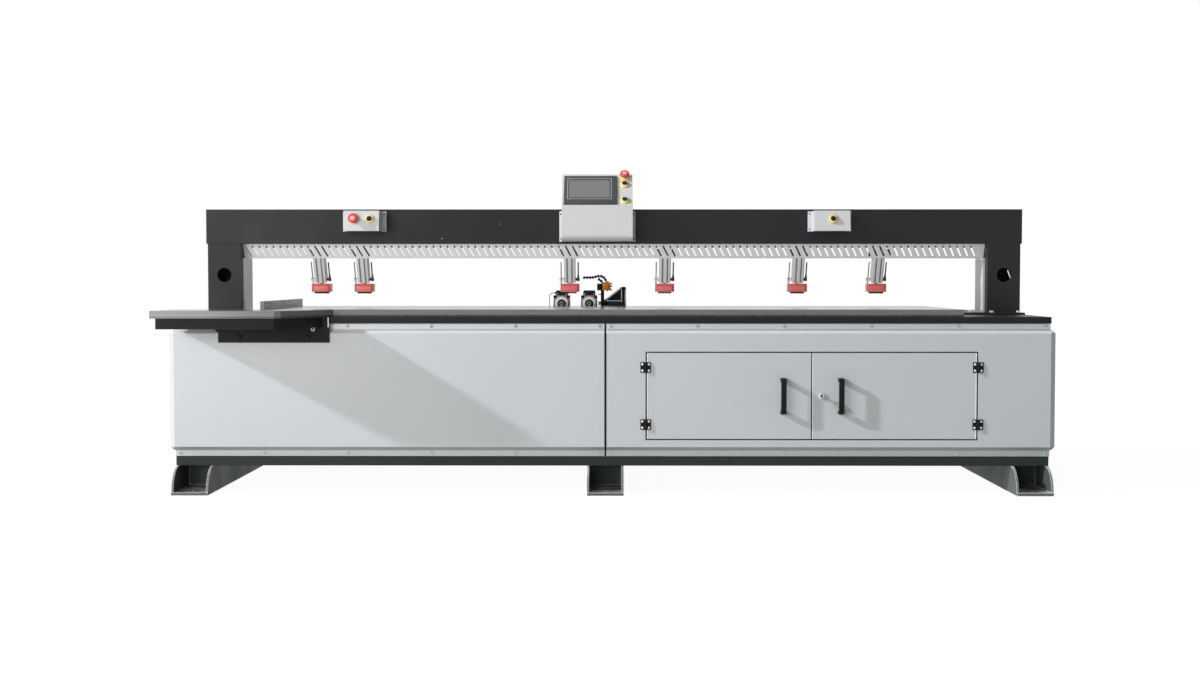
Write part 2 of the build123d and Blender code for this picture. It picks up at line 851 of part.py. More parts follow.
# Slotted rail: a sloping web with slanted slots, a flange under the beam, and two welded legs
tilt_sin = sin(radians(clamp_tilt))
tilt_cos = cos(radians(clamp_tilt))
rail_half = post_inner_x
rail_y = gantry_y + rail_setback
leg_y = gantry_y + leg_setback
leg_low = bed_top + post_flange
flange_low = beam_low - rail_sheet
web_foot = (rail_y + rail_drop * tilt_sin, beam_low - rail_drop * tilt_cos)
web_back = (web_foot[0] + rail_sheet * tilt_cos, web_foot[1] + rail_sheet * tilt_sin)
web_top = (web_back[0] - (flange_low - web_back[1]) * tilt_sin / tilt_cos, flange_low)
lip_y = rail_y + rail_flange_depth
rail_outline = [
    (rail_y, beam_low),
    web_foot,
    web_back,
    web_top,
    (lip_y, flange_low),
    (lip_y, beam_low - rail_lip),
    (lip_y + rail_sheet, beam_low - rail_lip),
    (lip_y + rail_sheet, beam_low),
]
web_middle = (gantry_shift, (rail_y + web_foot[0]) / 2, (beam_low + web_foot[1]) / 2)
web_plane = Plane(origin=web_middle, x_dir=(1, 0, 0), z_dir=(0, -tilt_cos, -tilt_sin))
slot_run = 2 * rail_half - slot_left_margin - slot_right_margin
slot_count = int(slot_run / slot_pitch) + 1
slot_places = [(slot_left_margin - rail_half + i * slot_pitch, 0) for i in range(slot_count)]
leg_back = leg_y + leg_depth
leg_outline = [
    (leg_y, leg_low),
    (leg_y, web_foot[1]),
    web_foot,
    (rail_y, beam_low),
    (leg_back, beam_low),
    (leg_back, leg_low),
]
with BuildPart() as slotted_rail:
    with BuildSketch(Plane.YZ.offset(gantry_shift - rail_half)):
        Polygon(*rail_outline, align=None)
    extrude(amount=2 * rail_half)
    with BuildSketch(web_plane):
        with Locations(*slot_places):
            SlotOverall(slot_length, slot_width, rotation=90 + slot_lean)
    extrude(amount=-2 * rail_sheet, mode=Mode.SUBTRACT)
    for side in (-1, 1):
        leg_x = sorted(gantry_shift + side * x for x in (rail_half - leg_thickness, rail_half))
        foot_inner = rail_half - leg_thickness - leg_foot
        foot_x_span = tuple(sorted(gantry_shift + side * x for x in (foot_inner, rail_half)))
        with BuildSketch(Plane.YZ.offset(leg_x[0])):
            Polygon(*leg_outline, align=None)
        extrude(amount=leg_thickness)
        block(foot_x_span, (leg_y, leg_back), (leg_low, leg_low + leg_foot_plate))
slotted_rail.part.label = "slotted_rail"
export_step(slotted_rail.part, "parts/slotted_rail.step")

# Clamp axis: each barrel lies on the back of the rail's web and points down and away from the operator
clamp_half = clamp_size / 2
clamp_head_z = flange_low - clamp_top_gap - clamp_half * tilt_sin
clamp_reach = rail_sheet + clamp_half - (clamp_head_z - beam_low) * tilt_sin
clamp_head_y = rail_y + clamp_reach / tilt_cos


def clamp_plane(x, travel):
    """A plane across a clamp's axis, at a distance from the barrel's upper end."""
    origin = (x, clamp_head_y + travel * tilt_sin, clamp_head_z - travel * tilt_cos)
    return Plane(origin=origin, x_dir=(1, 0, 0), z_dir=(0, tilt_sin, -tilt_cos))


# Clamp barrels: grooved square cylinders with plain lower caps and a guide eye
barrel_bore = clamp_stroke + clamp_rod_engage + clamp_half
with BuildPart() as clamp_barrels:
    for x in clamp_x:
        with BuildSketch(clamp_plane(x, 0)):
            RectangleRounded(clamp_size, clamp_size, clamp_corner)
            for turn in (0, 90, 180, 270):
                for shift in (-clamp_groove_offset, clamp_groove_offset):
                    reach = clamp_half - clamp_groove_depth / 2
                    place = Vector(reach, shift).rotate(Axis.Z, turn)
                    with Locations(place):
                        Rectangle(clamp_groove_depth, clamp_groove, rotation=turn, mode=Mode.SUBTRACT)
        extrude(amount=clamp_length - clamp_cap)
        with BuildSketch(clamp_plane(x, clamp_length - clamp_cap)):
            RectangleRounded(clamp_size, clamp_size, clamp_corner)
        extrude(amount=clamp_cap)
        eye_plane = clamp_plane(x, clamp_length - guide_eye_height)
        with BuildSketch(eye_plane):
            eye_width = guide_offset + guide_eye / 2 - clamp_half
            with Locations((-clamp_half - eye_width / 2, 0)):
                Rectangle(eye_width, guide_eye)
        extrude(amount=guide_eye_height)
        with BuildSketch(eye_plane):
            with Locations((-guide_offset, 0)):
                Circle(guide_rod_r + running_clear)
        extrude(amount=guide_eye_height, mode=Mode.SUBTRACT)
        rod(clamp_plane(x, clamp_length), clamp_rod_r + running_clear, -barrel_bore, Mode.SUBTRACT)
clamp_barrels.part.label = "clamp_barrels"
export_step(clamp_barrels.part, "parts/clamp_barrels.step")

# Air tubes along the clamps, between the two fittings of each barrel
with BuildPart() as clamp_tubes:
    for x in clamp_x:
        lower_fitting = clamp_length - fitting_height
        for travel, height in ((tube_start, 2 * tube_r), (lower_fitting, fitting_height)):
            with BuildSketch(clamp_plane(x, travel)):
                fitting_width = guide_offset + fitting_size / 2 - clamp_half
                with Locations((clamp_half + fitting_width / 2, 0)):
                    RectangleRounded(fitting_width, fitting_size, fitting_size / 6)
            extrude(amount=height)
        with BuildSketch(clamp_plane(x, tube_start)):
            with Locations((guide_offset, 0)):
                Circle(tube_r)
        extrude(amount=clamp_length - tube_start)
clamp_tubes.part.label = "clamp_tubes"
export_step(clamp_tubes.part, "parts/clamp_tubes.step")

# Clamp presses: piston rod, guide rod, chamfered block and soft pad
barrel_end = clamp_plane(0, clamp_length).origin
press_top = barrel_end.Z - clamp_half * tilt_sin - press_gap
press_drop = (barrel_end.Z - press_top) / tilt_cos
press_y = barrel_end.Y + press_drop * tilt_sin
press_low = press_top - press_height
press_floor = Plane.XY.offset(press_top)
for number, x in enumerate(clamp_x, start=1):
    with BuildPart() as press_rods:
        rod_start = clamp_plane(x, clamp_length - clamp_stroke - clamp_rod_engage)
        rod(rod_start, clamp_rod_r, clamp_stroke + clamp_rod_engage + 2 * press_drop)
        guide_start = clamp_plane(x, clamp_length + press_drop - guide_rod_length)
        with BuildSketch(guide_start):
            with Locations((-guide_offset, 0)):
                Circle(guide_rod_r)
        extrude(amount=guide_rod_length + press_drop)
        split(bisect_by=press_floor, keep=Keep.TOP)
    with BuildPart() as press_block:
        with BuildSketch(Plane.XY.offset(press_low)):
            with Locations((x, press_y)):
                Rectangle(press_width, press_depth)
            chamfer(vertices().group_by(Axis.Y)[0], press_corner)
        extrude(amount=press_height)
    with BuildPart() as press_pad:
        block(
            (x - pad_width / 2, x + pad_width / 2),
            (press_y - pad_depth / 2, press_y + pad_depth / 2),
            (press_low - pad_thickness, press_low),
        )
        fillet(press_pad.edges().filter_by(Axis.Z), pad_thickness / 3)
    press = Compound(label=f"press_{number}", children=[press_rods.part, press_block.part, press_pad.part])
    export_step(press, f"parts/press_{number}.step")

# Operator console: a folded sheet box that hooks over the beam, with a sloping face
console_front = gantry_y - console_depth
console_low = beam_low + console_lift
console_fold = beam_top + console_knee
console_top = console_fold + console_rise
console_back = console_front + console_rise + console_top_depth
console_x_span = (console_x - console_width / 2, console_x + console_width / 2)
console_outline = [
    (console_front, console_low),
    (console_front, console_fold),
    (console_front + console_rise, console_top),
    (console_back, console_top),
    (console_back, beam_top),
    (gantry_y, beam_top),
    (gantry_y, console_low),
]
slope_y = console_front + console_rise / 2
slope_z = console_fold + console_rise / 2
slope_lean = 45.0
column_x = console_x + button_column


def on_slope(x, rise):
    """A plane on the console's sloping face, at a distance up the slope from its middle."""
    shift = rise * sin(radians(slope_lean))
    return leaning(x, slope_y + shift, slope_z + shift, slope_lean)


def on_box(x):
    """A plane on the front of a small button box, a little above the middle of its height."""
    shift = box_button_rise * tan(radians(box_lean))
    return leaning(x, box_front + box_lean_run / 2 + shift, box_z + box_button_rise, box_lean)


box_high = beam_top - box_drop
box_low = box_high - box_height
box_z = (box_low + box_high) / 2
box_front = gantry_y - box_depth
box_lean_run = box_height * tan(radians(box_lean))
stop_seats = {
    "console_stop": on_slope(column_x, stop_rise),
    "left_stop": on_box(left_box_x + left_stop_dx),
}
push_seats = {
    "console_upper_button": on_slope(column_x, upper_button_rise),
    "console_lower_button": on_slope(column_x, lower_button_rise),
    "left_button": on_box(left_box_x + left_button_dx),
    "right_button": on_box(right_box_x + right_button_dx),
}
all_seats = {**stop_seats, **push_seats}


def beam_ears(x_span, z_span, width):
    """Two mounting ears on the beam's front face, beside a box."""
    for ear_x in ((x_span[0] - width, x_span[0]), (x_span[1], x_span[1] + width)):
        block(ear_x, (gantry_y - console_sheet, gantry_y), z_span)


with BuildPart() as console_box:
    with BuildSketch(Plane.YZ.offset(console_x_span[0])):
        Polygon(*console_outline, align=None)
        fillet(vertices().group_by(Axis.Y)[0].sort_by(Axis.X)[0], console_lip_r)
    extrude(amount=console_width)
    with BuildSketch(Plane.YZ.offset(console_x_span[0] + console_sheet)):
        Polygon(*console_outline, align=None)
        fillet(vertices().group_by(Axis.Y)[0].sort_by(Axis.X)[0], console_lip_r)
        offset(amount=-console_sheet, mode=Mode.REPLACE)
    extrude(amount=console_width - 2 * console_sheet, mode=Mode.SUBTRACT)
    with BuildSketch(on_slope(console_x + screen_shift, screen_rise)):
        Rectangle(screen_width - 2 * screen_border, screen_height - 2 * screen_border)
    extrude(amount=-2 * console_sheet, mode=Mode.SUBTRACT)
    for name in ("console_stop", "console_upper_button", "console_lower_button"):
        rod(all_seats[name], button_hole_r + button_seat_clear, -2 * console_sheet, Mode.SUBTRACT)
    beam_ears(console_x_span, (console_low, console_low + console_ear_height), console_ear)
console_box.part.label = "console_box"
export_step(console_box.part, "parts/console_box.step")

# Touch screen unit in the console's cut-out
with BuildPart() as console_screen:
    screen_plane = on_slope(console_x + screen_shift, screen_rise)
    with BuildSketch(screen_plane):
        RectangleRounded(screen_width, screen_height, screen_border)
    extrude(amount=screen_bezel, taper=screen_taper)
    with BuildSketch(screen_plane):
        inset = 2 * screen_border + 2 * screen_clear
        Rectangle(screen_width - inset, screen_height - inset)
    extrude(amount=-screen_body)
console_screen.part.label = "console_screen"
export_step(console_screen.part, "parts/console_screen.step")

# Small button boxes: folded sheet with a leaning front, open towards the beam
box_outline = [
    (gantry_y, box_low),
    (box_front, box_low),
    (box_front + box_lean_run, box_high),
    (gantry_y, box_high),
]
with BuildPart() as button_boxes:
    for x in (left_box_x, right_box_x):
        x_span = (x - box_width / 2, x + box_width / 2)
        with BuildSketch(Plane.YZ.offset(x_span[0])):
            Polygon(*box_outline, align=None)
        extrude(amount=box_width)
        with BuildSketch(Plane.YZ.offset(x_span[0] + console_sheet)):
            Polygon(*box_outline, align=None)
            offset(amount=-console_sheet, mode=Mode.REPLACE)
        extrude(amount=box_width - 2 * console_sheet, mode=Mode.SUBTRACT)
        open_x = (x_span[0] + console_sheet, x_span[1] - console_sheet)
        open_z = (box_low + console_sheet, box_high - console_sheet)
        block(open_x, (gantry_y - console_sheet, gantry_y), open_z, Mode.SUBTRACT)
        beam_ears(x_span, (box_low, box_high), box_ear)
    for name in ("left_stop", "left_button", "right_button"):
        rod(all_seats[name], button_hole_r + button_seat_clear, -2 * console_sheet, Mode.SUBTRACT)
button_boxes.part.label = "button_boxes"
export_step(button_boxes.part, "parts/button_boxes.step")

# Button collars, rings and the pressed pieces
with BuildPart() as button_collars:
    for plane in all_seats.values():
        rod(plane, collar_r, collar_height)
        rod(plane, button_hole_r + button_seat_clear, collar_height, Mode.SUBTRACT)
button_collars.part.label = "button_collars"
export_step(button_collars.part, "parts/button_collars.step")

with BuildPart() as button_rings:
    for plane in all_seats.values():
        rod(plane.offset(collar_height), ring_r, ring_height)
        rod(plane.offset(collar_height), button_hole_r, -button_body)
        top = plane.offset(collar_height + ring_height)
        rod(top, button_r + button_clear, -button_body - ring_height, Mode.SUBTRACT)
button_rings.part.label = "button_rings"
export_step(button_rings.part, "parts/button_rings.step")

for name, plane in push_seats.items():
    with BuildPart() as push_button:
        top = plane.offset(collar_height + ring_height + button_stand)
        rod(top, button_r, -button_stand - ring_height - button_body + button_press)
        outer_face = push_button.faces().sort_by(lambda f: (f.center() - top.origin).length)[0]
        fillet(outer_face.edges(), button_round)
    push_button.part.label = name
    export_step(push_button.part, f"parts/{name}.step")

for name, plane in stop_seats.items():
    with BuildPart() as stop_button:
        under = plane.offset(collar_height + ring_height + stop_press + button_stand / 2)
        rod(under, stop_head_r, stop_head)
        crown = under.offset(stop_head)
        outer_face = stop_button.faces().sort_by(lambda f: (f.center() - crown.origin).length)[0]
        fillet(outer_face.edges(), stop_round)
        rod(under, button_r, -stop_press - ring_height - button_body + stop_press)
    stop_button.part.label = name
    export_step(stop_button.part, f"parts/{name}.step")

# Cabinet doors: folded trays that fill the opening in the right front cover
door_split_x = (door_left_x + door_right_x) / 2
left_door_span = (door_left_x + door_gap / 2, door_split_x - door_gap / 2)
right_door_span = (door_split_x + door_gap / 2, door_right_x - door_gap / 2)
door_z_span = (door_low + door_gap, door_high - door_gap)
lock_x = door_split_x + lock_offset
door_z = (door_low + door_high) / 2
lock_plane = Plane(origin=(lock_x, face_y, door_z), x_dir=(1, 0, 0), z_dir=(0, -1, 0))


def door_tray(x_span):
    """A door skin with returned edges."""
    inner_x = (x_span[0] + panel_sheet, x_span[1] - panel_sheet)
    inner_z = (door_z_span[0] + panel_sheet, door_z_span[1] - panel_sheet)
    block(x_span, (face_y, face_y + door_depth), door_z_span)
    block(inner_x, (face_y + panel_sheet, face_y + door_depth), inner_z, Mode.SUBTRACT)


with BuildPart() as left_door:
    door_tray(left_door_span)
left_door.part.label = "left_door"
export_step(left_door.part, "parts/left_door.step")

with BuildPart() as right_door:
    door_tray(right_door_span)
    rod(lock_plane, lock_body_r + screw_clear, -panel_sheet, Mode.SUBTRACT)
right_door.part.label = "right_door"
export_step(right_door.part, "parts/right_door.step")

# Hinges: the fixed leaves carry the pins, the door leaves turn on them
hinge_y = face_y - knuckle_r - hinge_gap
hinge_levels = (door_low + hinge_inset, door_high - hinge_inset)
knuckle_step = hinge_height / 3


def hinge_leaf(axis_x, side, z_mid, knuckle_spans):
    """A hinge leaf on the front face, beside its axis, with knuckles at some heights."""
    near = knuckle_r + hinge_gap
    leaf_x = tuple(sorted((axis_x + side * near, axis_x + side * hinge_half)))
    z_span = (z_mid - hinge_height / 2, z_mid + hinge_height / 2)
    block(leaf_x, (face_y - leaf_thickness, face_y), z_span)
    for low, high in knuckle_spans:
        arm_x = tuple(sorted((axis_x, axis_x + side * near)))
        block(arm_x, (face_y - leaf_thickness, face_y - hinge_gap), (low, high))
        rod(Plane.XY.move(Location((axis_x, hinge_y, low))), knuckle_r, high - low)


with BuildPart() as fixed_hinges:
    for axis_x, side in ((door_left_x, -1), (door_right_x, 1)):
        for z in hinge_levels:
            low, high = z - hinge_height / 2, z + hinge_height / 2
            hinge_leaf(axis_x, side, z, ((low, low + knuckle_step), (high - knuckle_step, high)))
            rod(Plane.XY.move(Location((axis_x, hinge_y, low))), pin_r, hinge_height)
fixed_hinges.part.label = "fixed_hinges"
export_step(fixed_hinges.part, "parts/fixed_hinges.step")


def door_fittings(axis_x, side, handle_x):
    """The hinge leaves and the bow handle of one door."""
    for z in hinge_levels:
        middle = knuckle_step / 2 - hinge_gap
        hinge_leaf(axis_x, side, z, ((z - middle, z + middle),))
        pin_start = Plane.XY.move(Location((axis_x, hinge_y, z - hinge_height / 2)))
        rod(pin_start, pin_r + pin_clear, hinge_height, Mode.SUBTRACT)
    with BuildSketch(Plane.YZ.offset(handle_x - handle_width / 2)) as bow:
        with Locations((face_y - handle_reach / 2, door_z)):
            Rectangle(handle_reach, handle_height)
        fillet(vertices().group_by(Axis.X)[0], handle_round)
        inner_reach = handle_reach - handle_bar
        with Locations((face_y - inner_reach / 2, door_z)):
            Rectangle(inner_reach, handle_height - 2 * handle_foot, mode=Mode.SUBTRACT)
    extrude(bow.sketch, amount=handle_width)


with BuildPart() as left_door_fittings:
    door_fittings(door_left_x, 1, door_split_x - handle_offset)
left_door_fittings.part.label = "left_door_fittings"
export_step(left_door_fittings.part, "parts/left_door_fittings.step")

with BuildPart() as right_door_fittings:
    door_fittings(door_right_x, -1, door_split_x + handle_offset)
right_door_fittings.part.label = "right_door_fittings"
export_step(right_door_fittings.part, "parts/right_door_fittings.step")

# Cam lock in the right door: a barrel, and a plug with its key and cam
with BuildPart() as lock_barrel:
    rod(lock_plane, lock_bezel_r, lock_bezel)
    rod(lock_plane, lock_body_r, -lock_body)
    rod(lock_plane.offset(lock_bezel), plug_r + running_clear, -lock_bezel - lock_body, Mode.SUBTRACT)
lock_barrel.part.label = "lock_barrel"
export_step(lock_barrel.part, "parts/lock_barrel.step")

with BuildPart() as lock_key:
    plug_end = lock_plane.offset(-lock_body - cam_gap - cam_thickness)
    rod(plug_end, plug_r, lock_body + lock_bezel + cam_gap + cam_thickness)
    with BuildSketch(plug_end):
        with Locations((0, (cam_length - cam_width) / 2)):
            Rectangle(cam_width, cam_length)
    extrude(amount=cam_thickness)
    key_low = face_y - lock_bezel - key_reach
    key_x = (lock_x - key_thickness / 2, lock_x + key_thickness / 2)
    block(key_x, (key_low + key_bow / 2, face_y - lock_bezel), (door_z - key_bow / 6, door_z + key_bow / 6))
    bow_plane = Plane(origin=(key_x[0], key_low + key_bow / 2, door_z), x_dir=(0, 1, 0), z_dir=(1, 0, 0))
    rod(bow_plane, key_bow / 2, key_thickness)
    rod(bow_plane, key_bow / 6, key_thickness, Mode.SUBTRACT)
lock_key.part.label = "lock_key"
export_step(lock_key.part, "parts/lock_key.step")

# Cabinet inside: a mounting plate on a floor sheet, with drives and wiring ducts
cabinet_y = front_y + cabinet_depth
cabinet_low = foot_height + frame_bar
cabinet_x = (seam_x + bar_half, frame_half - frame_bar)
device_low = cabinet_low + duct_height + 2 * cabinet_sheet
device_x = [door_split_x + device_pitch * (i - (device_count - 1) / 2) for i in range(device_count)]
with BuildPart() as cabinet_plate:
    floor_y = (front_y + frame_bar, cabinet_y)
    floor_x = (seam_x - bar_half, frame_half - frame_wall)
    block(floor_x, floor_y, (cabinet_low, cabinet_low + cabinet_sheet))
    block(cabinet_x, (cabinet_y - cabinet_sheet, cabinet_y), (cabinet_low, cabinet_low + cabinet_height))

with BuildPart() as electrical_devices:
    mount_y = cabinet_y - cabinet_sheet
    for x in device_x:
        x_span = (x - device_width / 2, x + device_width / 2)
        block(x_span, (mount_y - device_depth, mount_y), (device_low, device_low + device_height))
    duct_x = (device_x[0] - device_width, device_x[-1] + device_width)
    for low in (device_low + device_height + cabinet_sheet, device_low - duct_height - cabinet_sheet):
        block(duct_x, (mount_y - duct_depth, mount_y), (low, low + duct_height))
panel_pieces = [cabinet_plate.part, electrical_devices.part]
electrical_panel = Compound(label="electrical_panel", children=panel_pieces)
export_step(electrical_panel, "parts/electrical_panel.step")

# Beam that carries the drill carriage along the back of the body
with BuildPart() as rail_beam:
    block((-frame_half, frame_half), (rail_beam_front, rail_beam_rear), (rail_beam_low, rail_beam_top))
    hollow_y = (rail_beam_front + rail_beam_wall, rail_beam_rear - rail_beam_wall)
    hollow_z = (rail_beam_low + rail_beam_wall, rail_beam_top - rail_beam_wall)
    block((-frame_half, frame_half), hollow_y, hollow_z, Mode.SUBTRACT)
rail_beam.part.label = "rail_beam"
export_step(rail_beam.part, "parts/rail_beam.step")

# Carriage rails and the drive rack, whose teeth face the operator
pressure = radians(20.0)
rack_pitch = pi * rack_module
pinion_r = rack_module * pinion_teeth / 2
rack_tip_y = rail_beam_front - rack_body
rack_pitch_y = rack_tip_y + rack_module
rack_root_y = rack_pitch_y + 1.25 * rack_module
pinion_x = head_x + servo_dx
pinion_y = rack_pitch_y - pinion_r
rack_low = rail_beam_top - rack_drop - rack_width
rack_half = frame_half - frame_bar - rack_end_gap
tip_half = rack_pitch / 4 - rack_module * tan(pressure) - backlash
root_half = rack_pitch / 4 + 1.25 * rack_module * tan(pressure) - backlash
first_tooth = ceil((-rack_half + root_half - pinion_x) / rack_pitch - 0.5)
last_tooth = int((rack_half - root_half - pinion_x) / rack_pitch - 0.5)
rack_outline = [(rack_half, rail_beam_front), (-rack_half, rail_beam_front), (-rack_half, rack_root_y)]
for tooth in range(first_tooth, last_tooth + 1):
    middle = pinion_x + (tooth + 0.5) * rack_pitch
    rack_outline.append((middle - root_half, rack_root_y))
    rack_outline.append((middle - tip_half, rack_tip_y))
    rack_outline.append((middle + tip_half, rack_tip_y))
    rack_outline.append((middle + root_half, rack_root_y))
rack_outline.append((rack_half, rack_root_y))
with BuildPart() as x_guides:
    for shift in (-x_rail_spacing / 2, x_rail_spacing / 2):
        with BuildSketch(Plane.YZ.offset(-rack_half)):
            with Locations((rail_beam_y + shift, rail_beam_top + x_rail_height / 2)):
                Rectangle(x_rail_width, x_rail_height)
                for side in (-x_rail_width / 2, x_rail_width / 2):
                    with Locations((side, 0)):
                        Circle(x_rail_height / 5, mode=Mode.SUBTRACT)
        extrude(amount=2 * rack_half)
    with BuildSketch(Plane.XY.offset(rack_low)):
        with BuildLine():
            Polyline(*rack_outline, close=True)
        make_face()
    extrude(amount=rack_width)
x_guides.part.label = "x_guides"
export_step(x_guides.part, "parts/x_guides.step")

# Carriage: a plate on four rail blocks, with the lift posts and the drive on it
carriage_x = (head_x - carriage_left, head_x + carriage_right)
lift_x = (head_x + lift_post_left, head_x + lift_post_right)
lift_y = (carriage_front_y + lift_post_inset, carriage_rear_y - lift_post_inset)
lift_posts = [(x, y) for x in lift_x for y in lift_y]
lift_rod_place = (head_x, carriage_front_y + lift_post_inset + lift_post_r)
lift_post_top = knee_top + lift_bush + lift_stroke
block_dx = carriage_left - x_block_length
x_block_middles = [
    (head_x + side * block_dx, rail_beam_y + shift)
    for side in (-1, 1)
    for shift in (-x_rail_spacing / 2, x_rail_spacing / 2)
]
with BuildPart() as carriage_plate:
    block(carriage_x, (carriage_front_y, carriage_rear_y), (carriage_low, carriage_top))
    with BuildSketch(Plane.XY.offset(carriage_low)):
        with Locations((pinion_x, pinion_y)):
            Circle(servo_hole_r)
        with Locations(lift_rod_place):
            Circle(lift_rod_r + running_clear)
    extrude(amount=carriage_plate_thickness, mode=Mode.SUBTRACT)

with BuildPart() as x_blocks:
    block_low = carriage_low - x_guide_height + x_rail_height / 3
    for x, y in x_block_middles:
        x_span = (x - x_block_length / 2, x + x_block_length / 2)
        slot_half = x_rail_width / 2 + guide_clear
        block(x_span, (y - x_block_width / 2, y + x_block_width / 2), (block_low, carriage_low))
        slot_top = rail_beam_top + x_rail_height + guide_clear
        block(x_span, (y - slot_half, y + slot_half), (block_low, slot_top), Mode.SUBTRACT)
x_carriage = Compound(label="x_carriage", children=[carriage_plate.part, x_blocks.part])
export_step(x_carriage, "parts/x_carriage.step")

with BuildPart() as x_servo:
    with BuildSketch(Plane.XY.offset(carriage_top)):
        with Locations((pinion_x, pinion_y)):
            RectangleRounded(servo_size, servo_size, servo_corner)
    extrude(amount=servo_length)
    shaft_plane = Plane.XY.move(Location((pinion_x, pinion_y, carriage_top)))
    rod(shaft_plane, servo_shaft_r + running_clear, servo_shaft_depth, Mode.SUBTRACT)
x_servo.part.label = "x_servo"
export_step(x_servo.part, "parts/x_servo.step")


def involute(angle):
    """The involute function of a pressure angle."""
    return tan(angle) - angle


def tooth_half_angle(radius):
    """Half the angle a pinion tooth covers at a radius."""
    local = atan2((radius**2 - base_r**2) ** 0.5, base_r)
    return pi / (2 * pinion_teeth) + involute(pressure) - involute(local) - backlash / pinion_r


base_r = pinion_r * cos(pressure)
pinion_tip_r = pinion_r + rack_module
pinion_root_r = pinion_r - 1.25 * rack_module
flank_steps = 6
flank_radii = [base_r + (pinion_tip_r - base_r) * i / flank_steps for i in range(flank_steps + 1)]
pinion_outline = []
for tooth in range(pinion_teeth):
    middle = pi / 2 + 2 * pi * tooth / pinion_teeth
    rising = [(r, middle + tooth_half_angle(r)) for r in reversed(flank_radii)]
    falling = [(r, middle - tooth_half_angle(r)) for r in flank_radii]
    foot_angle = tooth_half_angle(base_r)
    foot_before = (pinion_root_r, middle - foot_angle)
    foot_after = (pinion_root_r, middle + foot_angle)
    profile = [foot_before, *falling, *rising, foot_after]
    pinion_outline += [(pinion_x + r * cos(a), pinion_y + r * sin(a)) for r, a in profile]
with BuildPart() as drive_pinion:
    with BuildSketch(Plane.XY.offset(rack_low)):
        with BuildLine():
            Polyline(*pinion_outline, close=True)
        make_face()
    extrude(amount=rack_width)
    shaft_start = Plane.XY.move(Location((pinion_x, pinion_y, rack_low + rack_width)))
    rod(shaft_start, servo_shaft_r, carriage_top + servo_shaft_depth - rack_low - rack_width)
drive_pinion.part.label = "drive_pinion"
export_step(drive_pinion.part, "parts/drive_pinion.step")

# Lift: four posts and a hanging cylinder on the carriage
with BuildPart() as lift_guides:
    with BuildSketch(Plane.XY.offset(carriage_top)):
        with Locations(*lift_posts):
            Circle(lift_post_r)
    extrude(amount=lift_post_top - carriage_top)
    barrel_top = Plane.XY.move(Location((*lift_rod_place, carriage_low)))
    rod(barrel_top, lift_barrel_r, -lift_barrel_length)
    rod(barrel_top, lift_rod_r + running_clear, -lift_barrel_length + frame_wall, Mode.SUBTRACT)
lift_guides.part.label = "lift_guides"
export_step(lift_guides.part, "parts/lift_guides.step")

knee_x = (head_x - knee_left, head_x + knee_right)
with BuildPart() as knee_plate:
    block(knee_x, (carriage_front_y, carriage_rear_y), (knee_low, knee_top))
    with BuildSketch(Plane.XY.offset(knee_top)):
        with Locations(*lift_posts):
            Circle(lift_bush_r)
    extrude(amount=lift_bush)
    with BuildSketch(Plane.XY.offset(knee_low)):
        with Locations(*lift_posts):
            Circle(lift_post_r + running_clear)
    extrude(amount=knee_plate_thickness + lift_bush, mode=Mode.SUBTRACT)
    rod_length = knee_low - carriage_low + lift_barrel_length - 2 * frame_wall
    rod(Plane.XY.move(Location((*lift_rod_place, knee_low))), lift_rod_r, -rod_length)
knee_plate.part.label = "knee_plate"
export_step(knee_plate.part, "parts/knee_plate.step")

# Feed guides on the knee: two rails and a short cylinder between them
feed_rail_y = (carriage_front_y + lift_bush / 4, carriage_rear_y - lift_bush / 4)
feed_barrel_y = (feed_rail_y[1] - feed_barrel_length, feed_rail_y[1])
feed_z = knee_top + feed_barrel / 2
feed_rails_x = (head_x - feed_rail_spacing / 2, head_x + feed_rail_spacing / 2)
with BuildPart() as feed_guides:
    for x in feed_rails_x:
        rail_x = (x - guide_rail_width / 2, x + guide_rail_width / 2)
        block(rail_x, feed_rail_y, (knee_top, knee_top + guide_rail_height))
    barrel_x = (head_x - feed_barrel / 2, head_x + feed_barrel / 2)
    block(barrel_x, feed_barrel_y, (knee_top, knee_top + feed_barrel))
    bore = along_y(head_x, feed_barrel_y[0], feed_z)
    rod(bore, feed_rod_r + running_clear, feed_barrel_length - frame_wall, Mode.SUBTRACT)
feed_guides.part.label = "feed_guides"
export_step(feed_guides.part, "parts/feed_guides.step")

# Spindle plate: blocks on the feed rails, a lug and the feed rod under it
spindle_rear_y = carriage_rear_y
spindle_front_y = spindle_rear_y - spindle_length
plate_front_y = spindle_front_y - spindle_boss
plate_x = (head_x - spindle_plate_left, head_x + spindle_plate_right)
block_middle_y = spindle_rear_y - guide_block_length / 2 - frame_wall - lift_bush / 4
feed_block_y = (block_middle_y - guide_block_pitch, block_middle_y)
feed_block_low = knee_top + guide_rail_height / 3
with BuildPart() as spindle_slide:
    block(plate_x, (plate_front_y, spindle_rear_y), (spindle_plate_low, spindle_low))
    for x in feed_rails_x:
        for y in feed_block_y:
            y_span = (y - guide_block_length / 2, y + guide_block_length / 2)
            slot_half = guide_rail_width / 2 + guide_clear
            slot_top = knee_top + guide_rail_height + guide_clear
            block_x = (x - guide_block_width / 2, x + guide_block_width / 2)
            block(block_x, y_span, (feed_block_low, spindle_plate_low))
            block((x - slot_half, x + slot_half), y_span, (feed_block_low, slot_top), Mode.SUBTRACT)
    lug_x = (head_x - feed_barrel / 2, head_x + feed_barrel / 2)
    lug_y = (plate_front_y, plate_front_y + feed_lug)
    block(lug_x, lug_y, (knee_top + 2 * guide_clear, spindle_plate_low))
    rod_reach = feed_barrel_y[1] - lug_y[1] - 2 * frame_wall
    rod(along_y(head_x, lug_y[1], feed_z), feed_rod_r, rod_reach)
spindle_slide.part.label = "spindle_slide"
export_step(spindle_slide.part, "parts/spindle_slide.step")

